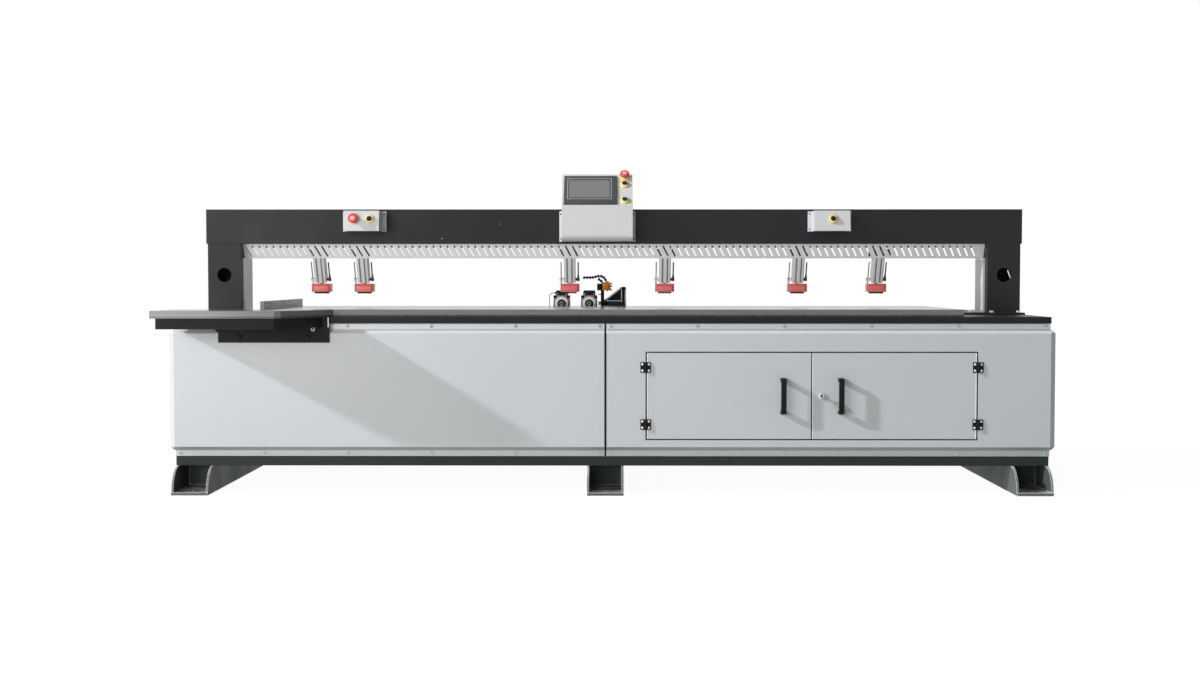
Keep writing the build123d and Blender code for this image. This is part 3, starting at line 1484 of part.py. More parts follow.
# Spindle motors: square finned housings with stepped corners and a round boss in front
spindle_x = (head_x - spindle_spacing / 2, head_x + spindle_spacing / 2)
spindle_half = spindle_size / 2
with BuildPart() as spindle_housings:
    for x in spindle_x:
        y_span = (spindle_front_y, spindle_rear_y)
        z_span = (spindle_z - spindle_half, spindle_z + spindle_half)
        block((x - spindle_half, x + spindle_half), y_span, z_span)
        for side in (-1, 1):
            for level in (-1, 1):
                far_x = x + side * spindle_half
                notch_x = tuple(sorted((far_x, far_x - side * spindle_notch)))
                far_z = spindle_z + level * spindle_half
                notch_z = tuple(sorted((far_z, far_z - level * spindle_notch)))
                notch_y = (spindle_front_y, spindle_front_y + spindle_notch_depth)
                block(notch_x, notch_y, notch_z, Mode.SUBTRACT)
        front = along_y(x, spindle_front_y, spindle_z)
        rod(front, spindle_boss_r, -spindle_boss)
        shaft_bore = along_y(x, spindle_front_y - spindle_boss, spindle_z)
        rod(shaft_bore, nose_shaft_r + running_clear, nose_shaft + spindle_boss, Mode.SUBTRACT)
spindle_housings.part.label = "spindle_housings"
export_step(spindle_housings.part, "parts/spindle_housings.step")

nose_rear_y = spindle_front_y - spindle_boss - guide_clear
nose_front_y = nose_rear_y - nose_length
for name, x in zip(("spindle_left", "spindle_right"), spindle_x):
    with BuildPart() as spindle_nose:
        rod(along_y(x, nose_front_y, spindle_z), nose_r, nose_length)
        fillet(spindle_nose.faces().sort_by(Axis.Y)[0].edges(), nose_round)
        rod(along_y(x, nose_rear_y, spindle_z), nose_shaft_r, nose_shaft)
        rod(along_y(x, nose_front_y, spindle_z), collet_r, collet_depth, Mode.SUBTRACT)
    spindle_nose.part.label = name
    export_step(spindle_nose.part, f"parts/{name}.step")

# Terminal boxes on the spindles, and the motor lead of the left one
terminal_low = spindle_z + spindle_half
terminal_y = (spindle_front_y + terminal_setback, spindle_front_y + terminal_setback + terminal_length)
lead_y = sum(terminal_y) / 2
lead_x = spindle_x[0] - terminal_width / 2
lead_z = terminal_low + terminal_height / 2
with BuildPart() as terminal_boxes:
    for x in spindle_x:
        x_span = (x - terminal_width / 2, x + terminal_width / 2)
        block(x_span, terminal_y, (terminal_low, terminal_low + terminal_height))
    fillet(terminal_boxes.edges().filter_by(Axis.Y), terminal_round)
    with BuildLine():
        lead = FilletPolyline(
            (lead_x, lead_y, lead_z),
            (lead_x - lead_reach, lead_y, lead_z),
            (lead_x - lead_reach, lead_y, spindle_low),
            radius=lead_bend,
        )
    with BuildSketch(Plane(origin=lead @ 0, z_dir=lead % 0)):
        Circle(lead_r)
    sweep()
terminal_boxes.part.label = "terminal_boxes"
export_step(terminal_boxes.part, "parts/terminal_boxes.step")

# Folded arm behind the servo, for the cable chain's moving end
arm_y = carriage_front_y + arm_setback
arm_low = carriage_top
arm_x = (head_x + arm_left, head_x + arm_right)
arm_top = table_top + arm_rise
with BuildPart() as chain_arm:
    with BuildSketch(Plane.XZ.offset(-arm_y)):
        Polygon(
            (head_x + arm_foot_left, arm_low),
            (arm_x[1], arm_low),
            (arm_x[1], arm_top),
            (arm_x[1] - arm_bar, arm_top),
            (arm_x[0], table_top + arm_tip_rise),
            (arm_x[0], table_top),
            (head_x + arm_foot_left, table_top - board_thickness),
            align=None,
        )
        fillet(vertices().group_by(Axis.Y)[-1], arm_round)
    extrude(amount=-arm_sheet)
    foot_y = (arm_y, arm_y + arm_bar)
    block((head_x + arm_foot_left, arm_x[1]), foot_y, (arm_low, arm_low + arm_sheet))
chain_arm.part.label = "chain_arm"
export_step(chain_arm.part, "parts/chain_arm.step")

# Air valve on a post of the knee, and its jointed blow hoses
post_x = head_x + valve_post_dx
valve_y = carriage_front_y + valve_post_setback
valve_top = table_top + valve_rise
valve_post_x = (post_x, post_x + valve_post_width)
valve_head_x = (post_x - valve_head + valve_post_width / 4, post_x)
with BuildPart() as valve_bracket:
    post_y = (valve_y - valve_post_depth / 2, valve_y + valve_post_depth / 2)
    block(valve_post_x, post_y, (knee_top, valve_top))
    head_y = (valve_y - valve_depth / 2, valve_y + valve_depth / 2)
    block(valve_head_x, head_y, (valve_top - valve_head_height, valve_top))
valve_bracket.part.label = "valve_bracket"
export_step(valve_bracket.part, "parts/valve_bracket.step")

valve_low = valve_top - valve_head_height
valve_x = (post_x + valve_post_width / 2, post_x + valve_post_width / 2 + valve_width)
with BuildPart() as air_valve:
    y_span = (valve_y - valve_post_depth / 2 - valve_depth, valve_y - valve_post_depth / 2)
    block(valve_x, y_span, (valve_low, valve_low + valve_height))
    fillet(air_valve.edges().filter_by(Axis.Y), valve_round)
air_valve.part.label = "air_valve"
export_step(air_valve.part, "parts/air_valve.step")


def jointed_hose(x, y, z, turns):
    """Cupped segments end to end, each in its own direction, on an upright stem with its foot at z."""
    headings = [upright, *turns]
    lengths = [hose_stem] + [hose_step] * len(turns)
    bends = [abs(after - before) for before, after in zip(headings, headings[1:])]
    backs = [0.0] + [hose_neck_r * tan(radians(bend / 2)) + hose_gap for bend in bends] + [0.0]
    for i, (heading, length) in enumerate(zip(headings, lengths)):
        run = Vector(cos(radians(heading)), 0, sin(radians(heading)))
        start = Plane(origin=(x, y, z), z_dir=run)
        rod(start.offset(backs[i]), hose_neck_r, length - backs[i] - backs[i + 1])
        if i > 0:
            rod(start.offset(hose_cup_start), hose_bead_r, length - 2 * hose_cup_start)
        x += length * run.X
        z += length * run.Z


with BuildPart() as air_hoses:
    valve_mid_y = valve_y - valve_post_depth / 2 - valve_depth / 2
    jointed_hose(valve_x[0] + valve_width / 2, valve_mid_y, valve_low + valve_height, long_turns)
    jointed_hose(post_x + valve_post_width / 4, valve_y, valve_top, short_turns)
air_hoses.part.label = "air_hoses"
export_step(air_hoses.part, "parts/air_hoses.step")
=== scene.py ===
# %% [markdown]
# # A side-drilling machine for furniture panels
# The solids of the machine come in as a fixed frame, in metres. This file gives them their finishes,
# and adds the small pieces that a maker would fit last: the press blocks, the screen, the screws and
# the hose beads. Everything stays where the solids put it.

# %% Load the frame
from math import cos, pi, radians, sin

import bmesh
import bpy
from mathutils import Matrix, Vector


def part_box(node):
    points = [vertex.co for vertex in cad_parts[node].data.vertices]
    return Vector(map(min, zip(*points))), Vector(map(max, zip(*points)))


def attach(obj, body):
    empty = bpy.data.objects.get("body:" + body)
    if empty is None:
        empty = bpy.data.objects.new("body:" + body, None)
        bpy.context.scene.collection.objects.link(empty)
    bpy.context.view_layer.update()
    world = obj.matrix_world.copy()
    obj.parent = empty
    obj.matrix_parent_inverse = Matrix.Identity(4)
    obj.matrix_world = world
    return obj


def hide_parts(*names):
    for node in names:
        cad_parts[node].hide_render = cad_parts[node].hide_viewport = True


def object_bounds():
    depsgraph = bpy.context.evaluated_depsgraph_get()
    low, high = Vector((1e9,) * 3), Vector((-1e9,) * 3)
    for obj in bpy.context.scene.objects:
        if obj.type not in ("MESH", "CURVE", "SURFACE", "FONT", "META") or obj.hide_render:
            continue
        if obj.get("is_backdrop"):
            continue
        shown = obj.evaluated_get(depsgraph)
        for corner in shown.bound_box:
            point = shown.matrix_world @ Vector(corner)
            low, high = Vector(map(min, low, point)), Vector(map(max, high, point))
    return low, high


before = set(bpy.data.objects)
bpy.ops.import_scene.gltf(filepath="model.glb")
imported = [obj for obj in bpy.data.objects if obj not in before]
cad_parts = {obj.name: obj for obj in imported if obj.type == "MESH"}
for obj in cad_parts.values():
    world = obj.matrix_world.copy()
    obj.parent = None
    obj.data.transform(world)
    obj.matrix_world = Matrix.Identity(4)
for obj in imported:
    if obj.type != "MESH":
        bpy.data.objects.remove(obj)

cad_low, cad_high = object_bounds()

# %% [markdown]
# ## Camera
# The photograph was taken from straight in front, at table height, six metres away. A camera could be
# aimed by a constraint, but a fixed place and turn is easier to read and to check.

# %% Camera
scene = bpy.context.scene
scene.view_settings.view_transform = "Standard"
lens = bpy.data.cameras.new("front_camera")
lens.sensor_width = 36.0
lens.lens = 46.95
camera = bpy.data.objects.new("front_camera", lens)
camera.location = (-0.006, -6.540, 0.826)
camera.rotation_euler = (radians(87.82), 0.0, radians(0.37))
scene.collection.objects.link(camera)
scene.camera = camera
print("camera at", tuple(round(v, 3) for v in camera.location))

# %% [markdown]
# ## Node helpers
# Room, floor and finishes are all made of shader nodes. They could be placed by hand in the editor, but a few
# short functions keep their making readable: one places a node, links what feeds it and sets its values.

# %% Node helpers
NUMBER, TINT, VECTOR = "NodeSocketFloat", "NodeSocketColor", "NodeSocketVector"


def rgb(red, green, blue):
    """A colour as a four-number socket value."""
    return (red, green, blue, 1.0)


def grey(level):
    """A plain grey as a socket value."""
    return rgb(level, level, level)


def new_group(name, inputs, outputs):
    """An empty shader node group with named sockets, and its two end nodes."""
    group = bpy.data.node_groups.new(name, "ShaderNodeTree")
    for label, kind, value in inputs:
        socket = group.interface.new_socket(name=label, in_out="INPUT", socket_type=kind)
        socket.default_value = value
    for label, kind in outputs:
        group.interface.new_socket(name=label, in_out="OUTPUT", socket_type=kind)
    return group, group.nodes.new("NodeGroupInput").outputs, group.nodes.new("NodeGroupOutput").inputs


def put(tree, kind, links, **settings):
    """A node with its settings; each input gets a value, or a link from another node's output."""
    node = tree.nodes.new("ShaderNode" + kind)
    for key, value in settings.items():
        setattr(node, key, value)
    for label, source in links.items():
        if isinstance(source, bpy.types.NodeSocket):
            tree.links.new(source, node.inputs[label])
        else:
            node.inputs[label].default_value = source
    return node


def send(group, out, **results):
    """Links the results of a group to its named outputs."""
    for label, result in results.items():
        group.links.new(result, out[label])


def maths(tree, operation, first, second):
    """The result of one sum on two values."""
    return put(tree, "Math", {0: first, 1: second}, operation=operation).outputs[0]


def mixed(tree, factor, first, second):
    """A colour between two colours."""
    return put(tree, "Mix", {0: factor, 6: first, 7: second}, data_type="RGBA").outputs[2]


def ranged(tree, value, low, high, first=0.0, second=1.0):
    """A value spread from one range to another, and held at its ends."""
    links = {"Value": value, "From Min": low, "From Max": high, "To Min": first, "To Max": second}
    return put(tree, "MapRange", links).outputs[0]


def noise(tree, where, scale, detail):
    """A cloudy value between 0 and 1."""
    return put(tree, "TexNoise", {"Vector": where, "Scale": scale, "Detail": detail}).outputs[0]


def object_place(tree):
    """The place on the piece, in metres."""
    return put(tree, "TexCoord", {}).outputs["Object"]


def in_view(tree):
    """1 for what the camera, a mirror or glass sees, and 0 for light that falls on something."""
    path = put(tree, "LightPath", {}).outputs
    mirrored = maths(tree, "MAXIMUM", path["Is Glossy Ray"], path["Is Transmission Ray"])
    return maths(tree, "MAXIMUM", path["Is Camera Ray"], mirrored)


print("node helpers ready")

# %% [markdown]
# ## Light
# The photograph has soft light from the front, stronger on the left. Two large lamps stand there, a white
# room, brighter above, fills the rest, and one soft sun, nearly along the front, draws the shadow of the wing
# table across the left cover. A picture of a studio could light the room too, but these few values are
# easier to set. The room is plain white to the camera and to mirrors. Only the left lamp shows in mirrors, as
# a sheen on the left post.

# %% Room
room = bpy.data.worlds.new("white_room")
scene.world = room
room.use_nodes = True
tree = room.node_tree
tree.nodes.clear()
left_glow, right_glow, top_glow = 0.14, 0.03, 0.22
sides = put(tree, "SeparateXYZ", {0: put(tree, "TexCoord", {}).outputs["Generated"]}).outputs
across = ranged(tree, sides["X"], -1.0, 1.0, left_glow, right_glow)
above = ranged(tree, sides["Z"], 0.2, 1.0, 0.0, top_glow)
glow = put(tree, "Background", {"Strength": maths(tree, "ADD", across, above)})
white = put(tree, "Background", {"Color": grey(1.0)})
both = put(tree, "MixShader", {0: in_view(tree), 1: glow.outputs[0], 2: white.outputs[0]})
put(tree, "OutputWorld", {"Surface": both.outputs[0]})
print("room made")


# %% Lamps and sun
def hang_light(name, kind, place, direction, mirrored, **settings):
    """A light at a place, shining in a direction, and shown in mirrors or not."""
    lamp = bpy.data.lights.new(name, kind)
    for key, value in settings.items():
        setattr(lamp, key, value)
    light = bpy.data.objects.new(name, lamp)
    light.location = place
    light.rotation_euler = Vector(direction).to_track_quat("-Z", "Y").to_euler()
    light.visible_glossy = mirrored
    scene.collection.objects.link(light)


cool, warm = (0.94, 0.97, 1.0), (1.0, 0.985, 0.965)
sun_way, left_way, front_way = (0.859, 0.239, -0.453), (2.9, 4.1, -0.4), (0.3, 1.0, 0.0)
hang_light("key_sun", "SUN", (0, 0, 3), sun_way, False, energy=3.8, angle=radians(2.5), color=cool)
hang_light("left_lamp", "AREA", (-3.4, -4.6, 1.2), left_way, True, energy=96.0, size=2.2, color=warm)
hang_light("front_lamp", "AREA", (-1.9, -6.5, 0.6), front_way, False, energy=162.0, size=3.0, color=warm)
print("lamps and sun made")

# %% [markdown]
# ## Floor
# A wide pale floor carries the soft shadow. It glows to the camera and to mirrors, so that it meets the white
# room without a line, and still darkens under the machine. A shadow catcher would need a second picture to be
# laid over, and the glow needs none.

# %% Floor
floor_half, floor_gap = 30.0, 0.0005
floor_glow, glow_share = 1.36, 0.7
bm = bmesh.new()
bmesh.ops.create_grid(bm, x_segments=1, y_segments=1, size=floor_half)
bmesh.ops.translate(bm, verts=bm.verts, vec=(0.0, 0.0, cad_low.z - floor_gap))
floor_mesh = bpy.data.meshes.new("pale_floor")
bm.to_mesh(floor_mesh)
bm.free()
floor = bpy.data.objects.new("pale_floor", floor_mesh)
scene.collection.objects.link(floor)
floor_paint = bpy.data.materials.new("pale_floor")
floor_paint.use_nodes = True
tree = floor_paint.node_tree
tree.nodes.clear()
matt = put(tree, "BsdfDiffuse", {"Color": rgb(0.60, 0.62, 0.61)})
lit = put(tree, "Emission", {"Strength": floor_glow})
share = maths(tree, "MULTIPLY", in_view(tree), glow_share)
both = put(tree, "MixShader", {0: share, 1: matt.outputs[0], 2: lit.outputs[0]})
put(tree, "OutputMaterial", {"Surface": both.outputs[0]})
floor_mesh.materials.append(floor_paint)
floor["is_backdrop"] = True
print("floor at z", round(cad_low.z, 4))

# %% [markdown]
# ## Shared effects
# Paint, metal and board all vary a little over their surface. Each effect is one node group with named
# sockets, used by many materials with different values. Noise on Object coordinates keeps its real size
# in metres on every piece.

# %% [markdown]
# ### Sprayed coat
# A sprayed coat has a fine orange peel, and large clouds where it is thicker. Two noises at those two
# sizes do both. A photograph of paint could do the same, but it would not fit every piece.

# %% Sprayed coat group
sprayed, into, out = new_group(
    "sprayed_coat",
    [
        ("Coat", TINT, grey(0.6)),
        ("Cloud", TINT, grey(0.5)),
        ("Cloud Scale", NUMBER, 3.0),
        ("Peel Scale", NUMBER, 500.0),
        ("Smooth", NUMBER, 0.3),
        ("Rough", NUMBER, 0.45),
    ],
    [("Color", TINT), ("Roughness", NUMBER), ("Height", NUMBER)],
)
where = object_place(sprayed)
cloud = noise(sprayed, where, into["Cloud Scale"], 4.0)
tint = mixed(sprayed, ranged(sprayed, cloud, 0.3, 0.7), into["Coat"], into["Cloud"])
sheen = ranged(sprayed, cloud, 0.3, 0.7, into["Smooth"], into["Rough"])
peel = noise(sprayed, where, into["Peel Scale"], 2.0)
send(sprayed, out, Color=tint, Roughness=sheen, Height=peel)
print("group:", sprayed.name)

# %% [markdown]
# ### Drawn lines
# Ground steel, drawn aluminium and planed board carry long fine lines. A wave texture would make them too
# regular, and a noise that is stretched along one direction does not. The stretch is a named input, so each
# piece chooses its direction.

# %% Drawn lines group
drawn, into, out = new_group(
    "drawn_lines",
    [
        ("Base", TINT, grey(0.7)),
        ("Line", TINT, grey(0.5)),
        ("Stretch", VECTOR, (1.0, 1.0, 1.0)),
        ("Smooth", NUMBER, 0.25),
        ("Rough", NUMBER, 0.45),
    ],
    [("Color", TINT), ("Roughness", NUMBER), ("Height", NUMBER)],
)
where = object_place(drawn)
pulled = put(drawn, "VectorMath", {0: where, 1: into["Stretch"]}, operation="MULTIPLY").outputs[0]
streak = noise(drawn, pulled, 1.0, 3.0)
tint = mixed(drawn, ranged(drawn, streak, 0.3, 0.7), into["Base"], into["Line"])
sheen = ranged(drawn, streak, 0.3, 0.7, into["Smooth"], into["Rough"])
send(drawn, out, Color=tint, Roughness=sheen, Height=streak)
print("group:", drawn.name)

# %% [markdown]
# ### Settled dust
# Dust lies on faces that look up, in patches. A mask could be painted for each piece, but the face's own
# direction, broken by noise, works on all of them.

# %% Settled dust group
dusty, into, out = new_group(
    "settled_dust",
    [("Color", TINT, grey(0.5)), ("Dust", TINT, rgb(0.5, 0.48, 0.45)), ("Amount", NUMBER, 0.5)],
    [("Color", TINT)],
)
upward = put(dusty, "SeparateXYZ", {0: put(dusty, "NewGeometry", {}).outputs["Normal"]}).outputs["Z"]
lying = ranged(dusty, upward, 0.5, 0.95)
patch = ranged(dusty, noise(dusty, object_place(dusty), 14.0, 5.0), 0.35, 0.75)
mask = maths(dusty, "MULTIPLY", maths(dusty, "MULTIPLY", lying, patch), into["Amount"])
send(dusty, out, Color=mixed(dusty, mask, into["Color"], into["Dust"]))
print("group:", dusty.name)

# %% [markdown]
# ### Worn edges
# Paint rubs thin along edges. The edges could be marked by hand, but where a rounded normal differs from the
# true one there is an edge. Noise breaks the line so that it looks used.

# %% Worn edges group
worn, into, out = new_group(
    "worn_edges",
    [
        ("Color", TINT, grey(0.5)),
        ("Bare", TINT, grey(0.6)),
        ("Amount", NUMBER, 0.5),
        ("Reach", NUMBER, 0.004),
        ("Start", NUMBER, 0.4),
    ],
    [("Color", TINT)],
)
true_normal = put(worn, "NewGeometry", {}).outputs["True Normal"]
round_normal = put(worn, "Bevel", {"Radius": into["Reach"]}, samples=4).outputs[0]
same = put(worn, "VectorMath", {0: true_normal, 1: round_normal}, operation="DOT_PRODUCT").outputs["Value"]
edge = ranged(worn, same, 0.99, 0.8)
grain = noise(worn, object_place(worn), 60.0, 6.0)
broken = ranged(worn, grain, into["Start"], maths(worn, "ADD", into["Start"], 0.2))
mask = maths(worn, "MULTIPLY", maths(worn, "MULTIPLY", edge, broken), into["Amount"])
send(worn, out, Color=mixed(worn, mask, into["Color"], into["Bare"]))
print("group:", worn.name)

# %% [markdown]
# ### Chips and specks
# A painted beam collects small pale chips and short scuffs. A noise that is cut off high gives blots of every
# size. Cells of very different sizes, cut off close to their centres, leave sparse dots instead.

# %% Chips group
chipped, into, out = new_group(
    "paint_chips",
    [("Color", TINT, grey(0.5)), ("Chip", TINT, grey(0.6)), ("Scale", NUMBER, 10.0)],
    [("Color", TINT)],
)
cells = put(chipped, "TexVoronoi", {"Vector": object_place(chipped), "Scale": into["Scale"]}).outputs
near = ranged(chipped, cells["Distance"], 0.05, 0.03)
lucky = put(chipped, "SeparateXYZ", {0: cells["Color"]}).outputs["X"]
mask = maths(chipped, "MULTIPLY", near, ranged(chipped, lucky, 0.7, 0.75))
send(chipped, out, Color=mixed(chipped, mask, into["Color"], into["Chip"]))
print("group:", chipped.name)

# %% [markdown]
# ### Tone band
# Some solids have another tone in one band of height only. On the covers' folds it is a painted highlight
# above and a painted shade below. On the rail's flange under the black beam, which shows as a dot at the
# upper end of every slot, and on the heads of the clamp barrels behind the rail, it is painted shade. On the
# rail it greys the right leg only, so the left leg is painted lighter than its shade, and the table board is
# darker along its lowest few millimetres. Such a solid could be cut in two, but it is one piece on the real
# machine.
# Height, depth and place across, in Object coordinates, bound the band.

# %% Tone band group
floor_level, over_all = 0.0, 2.0
banded, into, out = new_group(
    "tone_band",
    [
        ("Color", TINT, grey(0.5)),
        ("Tone", TINT, grey(0.012)),
        ("Low", NUMBER, 0.9),
        ("High", NUMBER, 1.0),
        ("Front", NUMBER, -2.0),
        ("Left", NUMBER, -2.0),
    ],
    [("Color", TINT)],
)
spot = put(banded, "SeparateXYZ", {0: object_place(banded)}).outputs
tall = maths(banded, "GREATER_THAN", spot["Z"], into["Low"])
short = maths(banded, "LESS_THAN", spot["Z"], into["High"])
behind = maths(banded, "GREATER_THAN", spot["Y"], into["Front"])
beside = maths(banded, "GREATER_THAN", spot["X"], into["Left"])
level_mask, side_mask = maths(banded, "MULTIPLY", tall, short), maths(banded, "MULTIPLY", behind, beside)
mask = maths(banded, "MULTIPLY", level_mask, side_mask)
send(banded, out, Color=mixed(banded, mask, into["Color"], into["Tone"]))
print("group:", banded.name)

# %% [markdown]
# ## Finishes
# Every finish is a Principled shader fed by these groups. A bump node takes the fine height, and rounds
# the hard edges of the solids a little, so that they catch the light as real folded sheet does. Copying a
# material and changing it would be quick, but a function keeps all of them alike.


# %% Finish helpers
def finish(name, group, values, bump, edge, after, shader):
    """A material: one group for its surface, more groups over its colour, and shader constants."""
    material = bpy.data.materials.new(name)
    material.use_nodes = True
    tree = material.node_tree
    tree.nodes.clear()
    first = put(tree, "Group", values, node_tree=group).outputs
    colour = first["Color"]
    for over, over_values in after:
        colour = put(tree, "Group", {"Color": colour, **over_values}, node_tree=over).outputs["Color"]
    rounded = put(tree, "Bevel", {"Radius": edge}, samples=4).outputs[0]
    links = {"Strength": bump[0], "Distance": bump[1], "Height": first["Height"], "Normal": rounded}
    relief = put(tree, "Bump", links).outputs[0]
    links = {"Base Color": colour, "Roughness": first["Roughness"], "Normal": relief, **shader}
    surface = put(tree, "BsdfPrincipled", links)
    put(tree, "OutputMaterial", {"Surface": surface.outputs[0]})
    return material


def painted(name, coat, cloud, scales, rough, bump, edge, after=(), specular=0.5):
    """A sprayed finish: two tones, the scales of clouds and peel, roughness from and to, bump and edge."""
    values = {"Coat": coat, "Cloud": cloud, "Cloud Scale": scales[0], "Peel Scale": scales[1]}
    values.update({"Smooth": rough[0], "Rough": rough[1]})
    shader = {"Metallic": 0.0, "Specular IOR Level": specular}
    return finish(name, sprayed, values, bump, edge, after, shader)


def lined(name, base, line, stretch, rough, bump, edge, after=(), metallic=1.0):
    """A drawn finish: two tones, the stretch of its lines, roughness from and to, bump and edge."""
    values = {"Base": base, "Line": line, "Stretch": stretch, "Smooth": rough[0], "Rough": rough[1]}
    return finish(name, drawn, values, bump, edge, after, {"Metallic": metallic})


print("finish helpers ready")

# %% [markdown]
# ### Covers, boxes and rail
# The covers are folded sheet in a light grey satin coat. Their upper fold is painted paler, a painted
# highlight of light from above, and the band under the lower one a greenish dark, a painted shade. The tones
# of the folds could be left to the light alone, but they are a little too weak then. The slotted rail is
# white and its right leg a little greyer; the left leg keeps the white, a painted lightening against the
# shade of the left post.

# %% Pale paints
cover_low, cover_high = (corner.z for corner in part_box("left_front_panel"))
beam_low, rail_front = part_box("gantry_beam")[0].z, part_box("slotted_rail")[0].y
fold = 0.037
cover_grey = painted(
    "cover_grey",
    coat=rgb(0.478, 0.490, 0.505),
    cloud=rgb(0.460, 0.472, 0.487),
    scales=(1.6, 420.0),
    rough=(0.34, 0.42),
    bump=(0.05, 0.0004),
    edge=0.002,
    after=[
        # painted highlight: the upper fold is paler, as if lit from above
        (banded, {"Tone": rgb(0.645, 0.66, 0.675), "Low": cover_high - fold, "High": over_all}),
        # painted shade: the band under the lower fold is a greenish dark
        (banded, {"Tone": rgb(0.29, 0.34, 0.325), "Low": cover_low + 0.022, "High": cover_low + fold}),
    ],
)
box_grey = painted(
    "box_grey",
    coat=rgb(0.585, 0.59, 0.60),
    cloud=rgb(0.565, 0.57, 0.58),
    scales=(6.0, 700.0),
    rough=(0.36, 0.44),
    bump=(0.06, 0.0003),
    edge=0.0012,
)
leg_grey = rgb(0.50, 0.505, 0.51)
rail_white = painted(
    "rail_white",
    coat=rgb(0.93, 0.93, 0.925),
    cloud=rgb(0.91, 0.91, 0.905),
    scales=(5.0, 600.0),
    rough=(0.3, 0.4),
    bump=(0.05, 0.0003),
    edge=0.001,
    after=[
        # painted light: only the right leg is greyed; the left leg keeps the white to make up for the left
        # post's shade
        (banded, {"Tone": leg_grey, "Low": floor_level, "High": beam_low - 0.065, "Left": 0.0}),
        # painted shade: the flange under the black beam is near black, and shows as a dark dot at the upper
        # end of every slot
        (banded, {"Low": beam_low - 0.0095, "High": over_all, "Front": rail_front + 0.012}),
    ],
    specular=0.3,
)
print("pale paints made")

# %% [markdown]
# ### Gantry, base and presses
# The gantry is near black with a fine texture and a few chips. The base frame is a dark green-black, the feet
# are greyer, rubbed bare at their edges and dusty, and the bed is black. The small brackets and hinges are a
# satin black, and the press blocks red, with pale pink edges that are a painted highlight. One plain black
# for all the dark parts would hide their joints.

# %% Dark paints and red
gantry_black = painted(
    "gantry_black",
    coat=rgb(0.0100, 0.0098, 0.0122),
    cloud=rgb(0.0072, 0.0070, 0.0094),
    scales=(3.0, 900.0),
    rough=(0.42, 0.52),
    bump=(0.25, 0.0003),
    edge=0.003,
    after=[
        (chipped, {"Chip": rgb(0.35, 0.36, 0.38), "Scale": 16.0}),
        (dusty, {"Dust": rgb(0.10, 0.097, 0.094), "Amount": 0.4}),
    ],
    specular=0.29,
)
base_green = painted(
    "base_green",
    coat=rgb(0.013, 0.020, 0.0195),
    cloud=rgb(0.018, 0.027, 0.026),
    scales=(4.0, 500.0),
    rough=(0.42, 0.55),
    bump=(0.2, 0.0004),
    edge=0.002,
    after=[(dusty, {"Dust": rgb(0.14, 0.135, 0.128), "Amount": 0.4})],
    specular=0.18,
)
foot_green = painted(
    "foot_green",
    coat=rgb(0.058, 0.068, 0.069),
    cloud=rgb(0.074, 0.082, 0.080),
    scales=(9.0, 420.0),
    rough=(0.45, 0.6),
    bump=(0.3, 0.0005),
    edge=0.002,
    after=[
        (worn, {"Bare": grey(0.62), "Amount": 0.95, "Reach": 0.007, "Start": 0.2}),
        (dusty, {"Dust": rgb(0.66, 0.62, 0.59), "Amount": 1.0}),
    ],
    specular=0.18,
)
bed_black = painted(
    "bed_black",
    coat=rgb(0.007, 0.0075, 0.0085),
    cloud=rgb(0.010, 0.0105, 0.0115),
    scales=(4.0, 500.0),
    rough=(0.4, 0.5),
    bump=(0.15, 0.0004),
    edge=0.0015,
    after=[(worn, {"Bare": grey(0.12), "Amount": 0.35})],
    specular=0.18,
)
satin_black = painted(
    "satin_black",
    coat=rgb(0.006, 0.006, 0.0065),
    cloud=rgb(0.009, 0.009, 0.0095),
    scales=(20.0, 900.0),
    rough=(0.32, 0.45),
    bump=(0.15, 0.0002),
    edge=0.0015,
    after=[(worn, {"Bare": grey(0.07), "Amount": 0.4})],
    specular=0.1,
)
press_red = painted(
    "press_red",
    coat=rgb(0.98, 0.21, 0.205),
    cloud=rgb(0.96, 0.20, 0.195),
    scales=(25.0, 700.0),
    rough=(0.25, 0.35),
    bump=(0.08, 0.0003),
    edge=0.001,
    # painted highlight: the block's cut edges and chamfers are pale pink, where they catch the light; laid
    # with the edge-wear group
    after=[(worn, {"Bare": rgb(0.97, 0.56, 0.54), "Amount": 0.8, "Reach": 0.004, "Start": 0.1})],
)
print("dark paints and red made")

# %% [markdown]
# ### Metal
# The barrels and plates are drawn aluminium, the guides ground steel, the bolts zinc plated, the cover screws
# a dull chrome and the motors a dull bronze. They differ in the direction of their lines and in how dull they
# are. Anisotropic gloss could stand for the lines, but real lines keep their place in every view.

# %% Metal finishes
along_barrel = (900.0, 60.0, 30.0)
barrel_silver = lined(
    "barrel_silver",
    base=rgb(0.84, 0.84, 0.85),
    line=rgb(0.70, 0.70, 0.71),
    stretch=along_barrel,
    rough=(0.30, 0.42),
    bump=(0.06, 0.0002),
    edge=0.0008,
    metallic=0.45,
)
clamp_silver = lined(
    "clamp_silver",
    base=grey(0.93),
    line=grey(0.84),
    stretch=along_barrel,
    rough=(0.30, 0.42),
    bump=(0.06, 0.0002),
    edge=0.0008,
    # painted shade: the head of each barrel, behind the rail and under the beam, is darkened
    after=[(banded, {"Low": beam_low - 0.057, "High": over_all})],
    metallic=0.05,
)
motor_bronze = lined(
    "motor_bronze",
    base=rgb(0.30, 0.225, 0.21),
    line=rgb(0.24, 0.18, 0.165),
    stretch=(60.0, 60.0, 60.0),
    rough=(0.35, 0.5),
    bump=(0.08, 0.0002),
    edge=0.0008,
    metallic=0.2,
)
plate_silver = lined(
    "plate_silver",
    base=rgb(0.60, 0.60, 0.61),
    line=rgb(0.52, 0.52, 0.53),
    stretch=(30.0, 600.0, 600.0),
    rough=(0.3, 0.45),
    bump=(0.06, 0.0002),
    edge=0.0008,
    metallic=0.9,
)
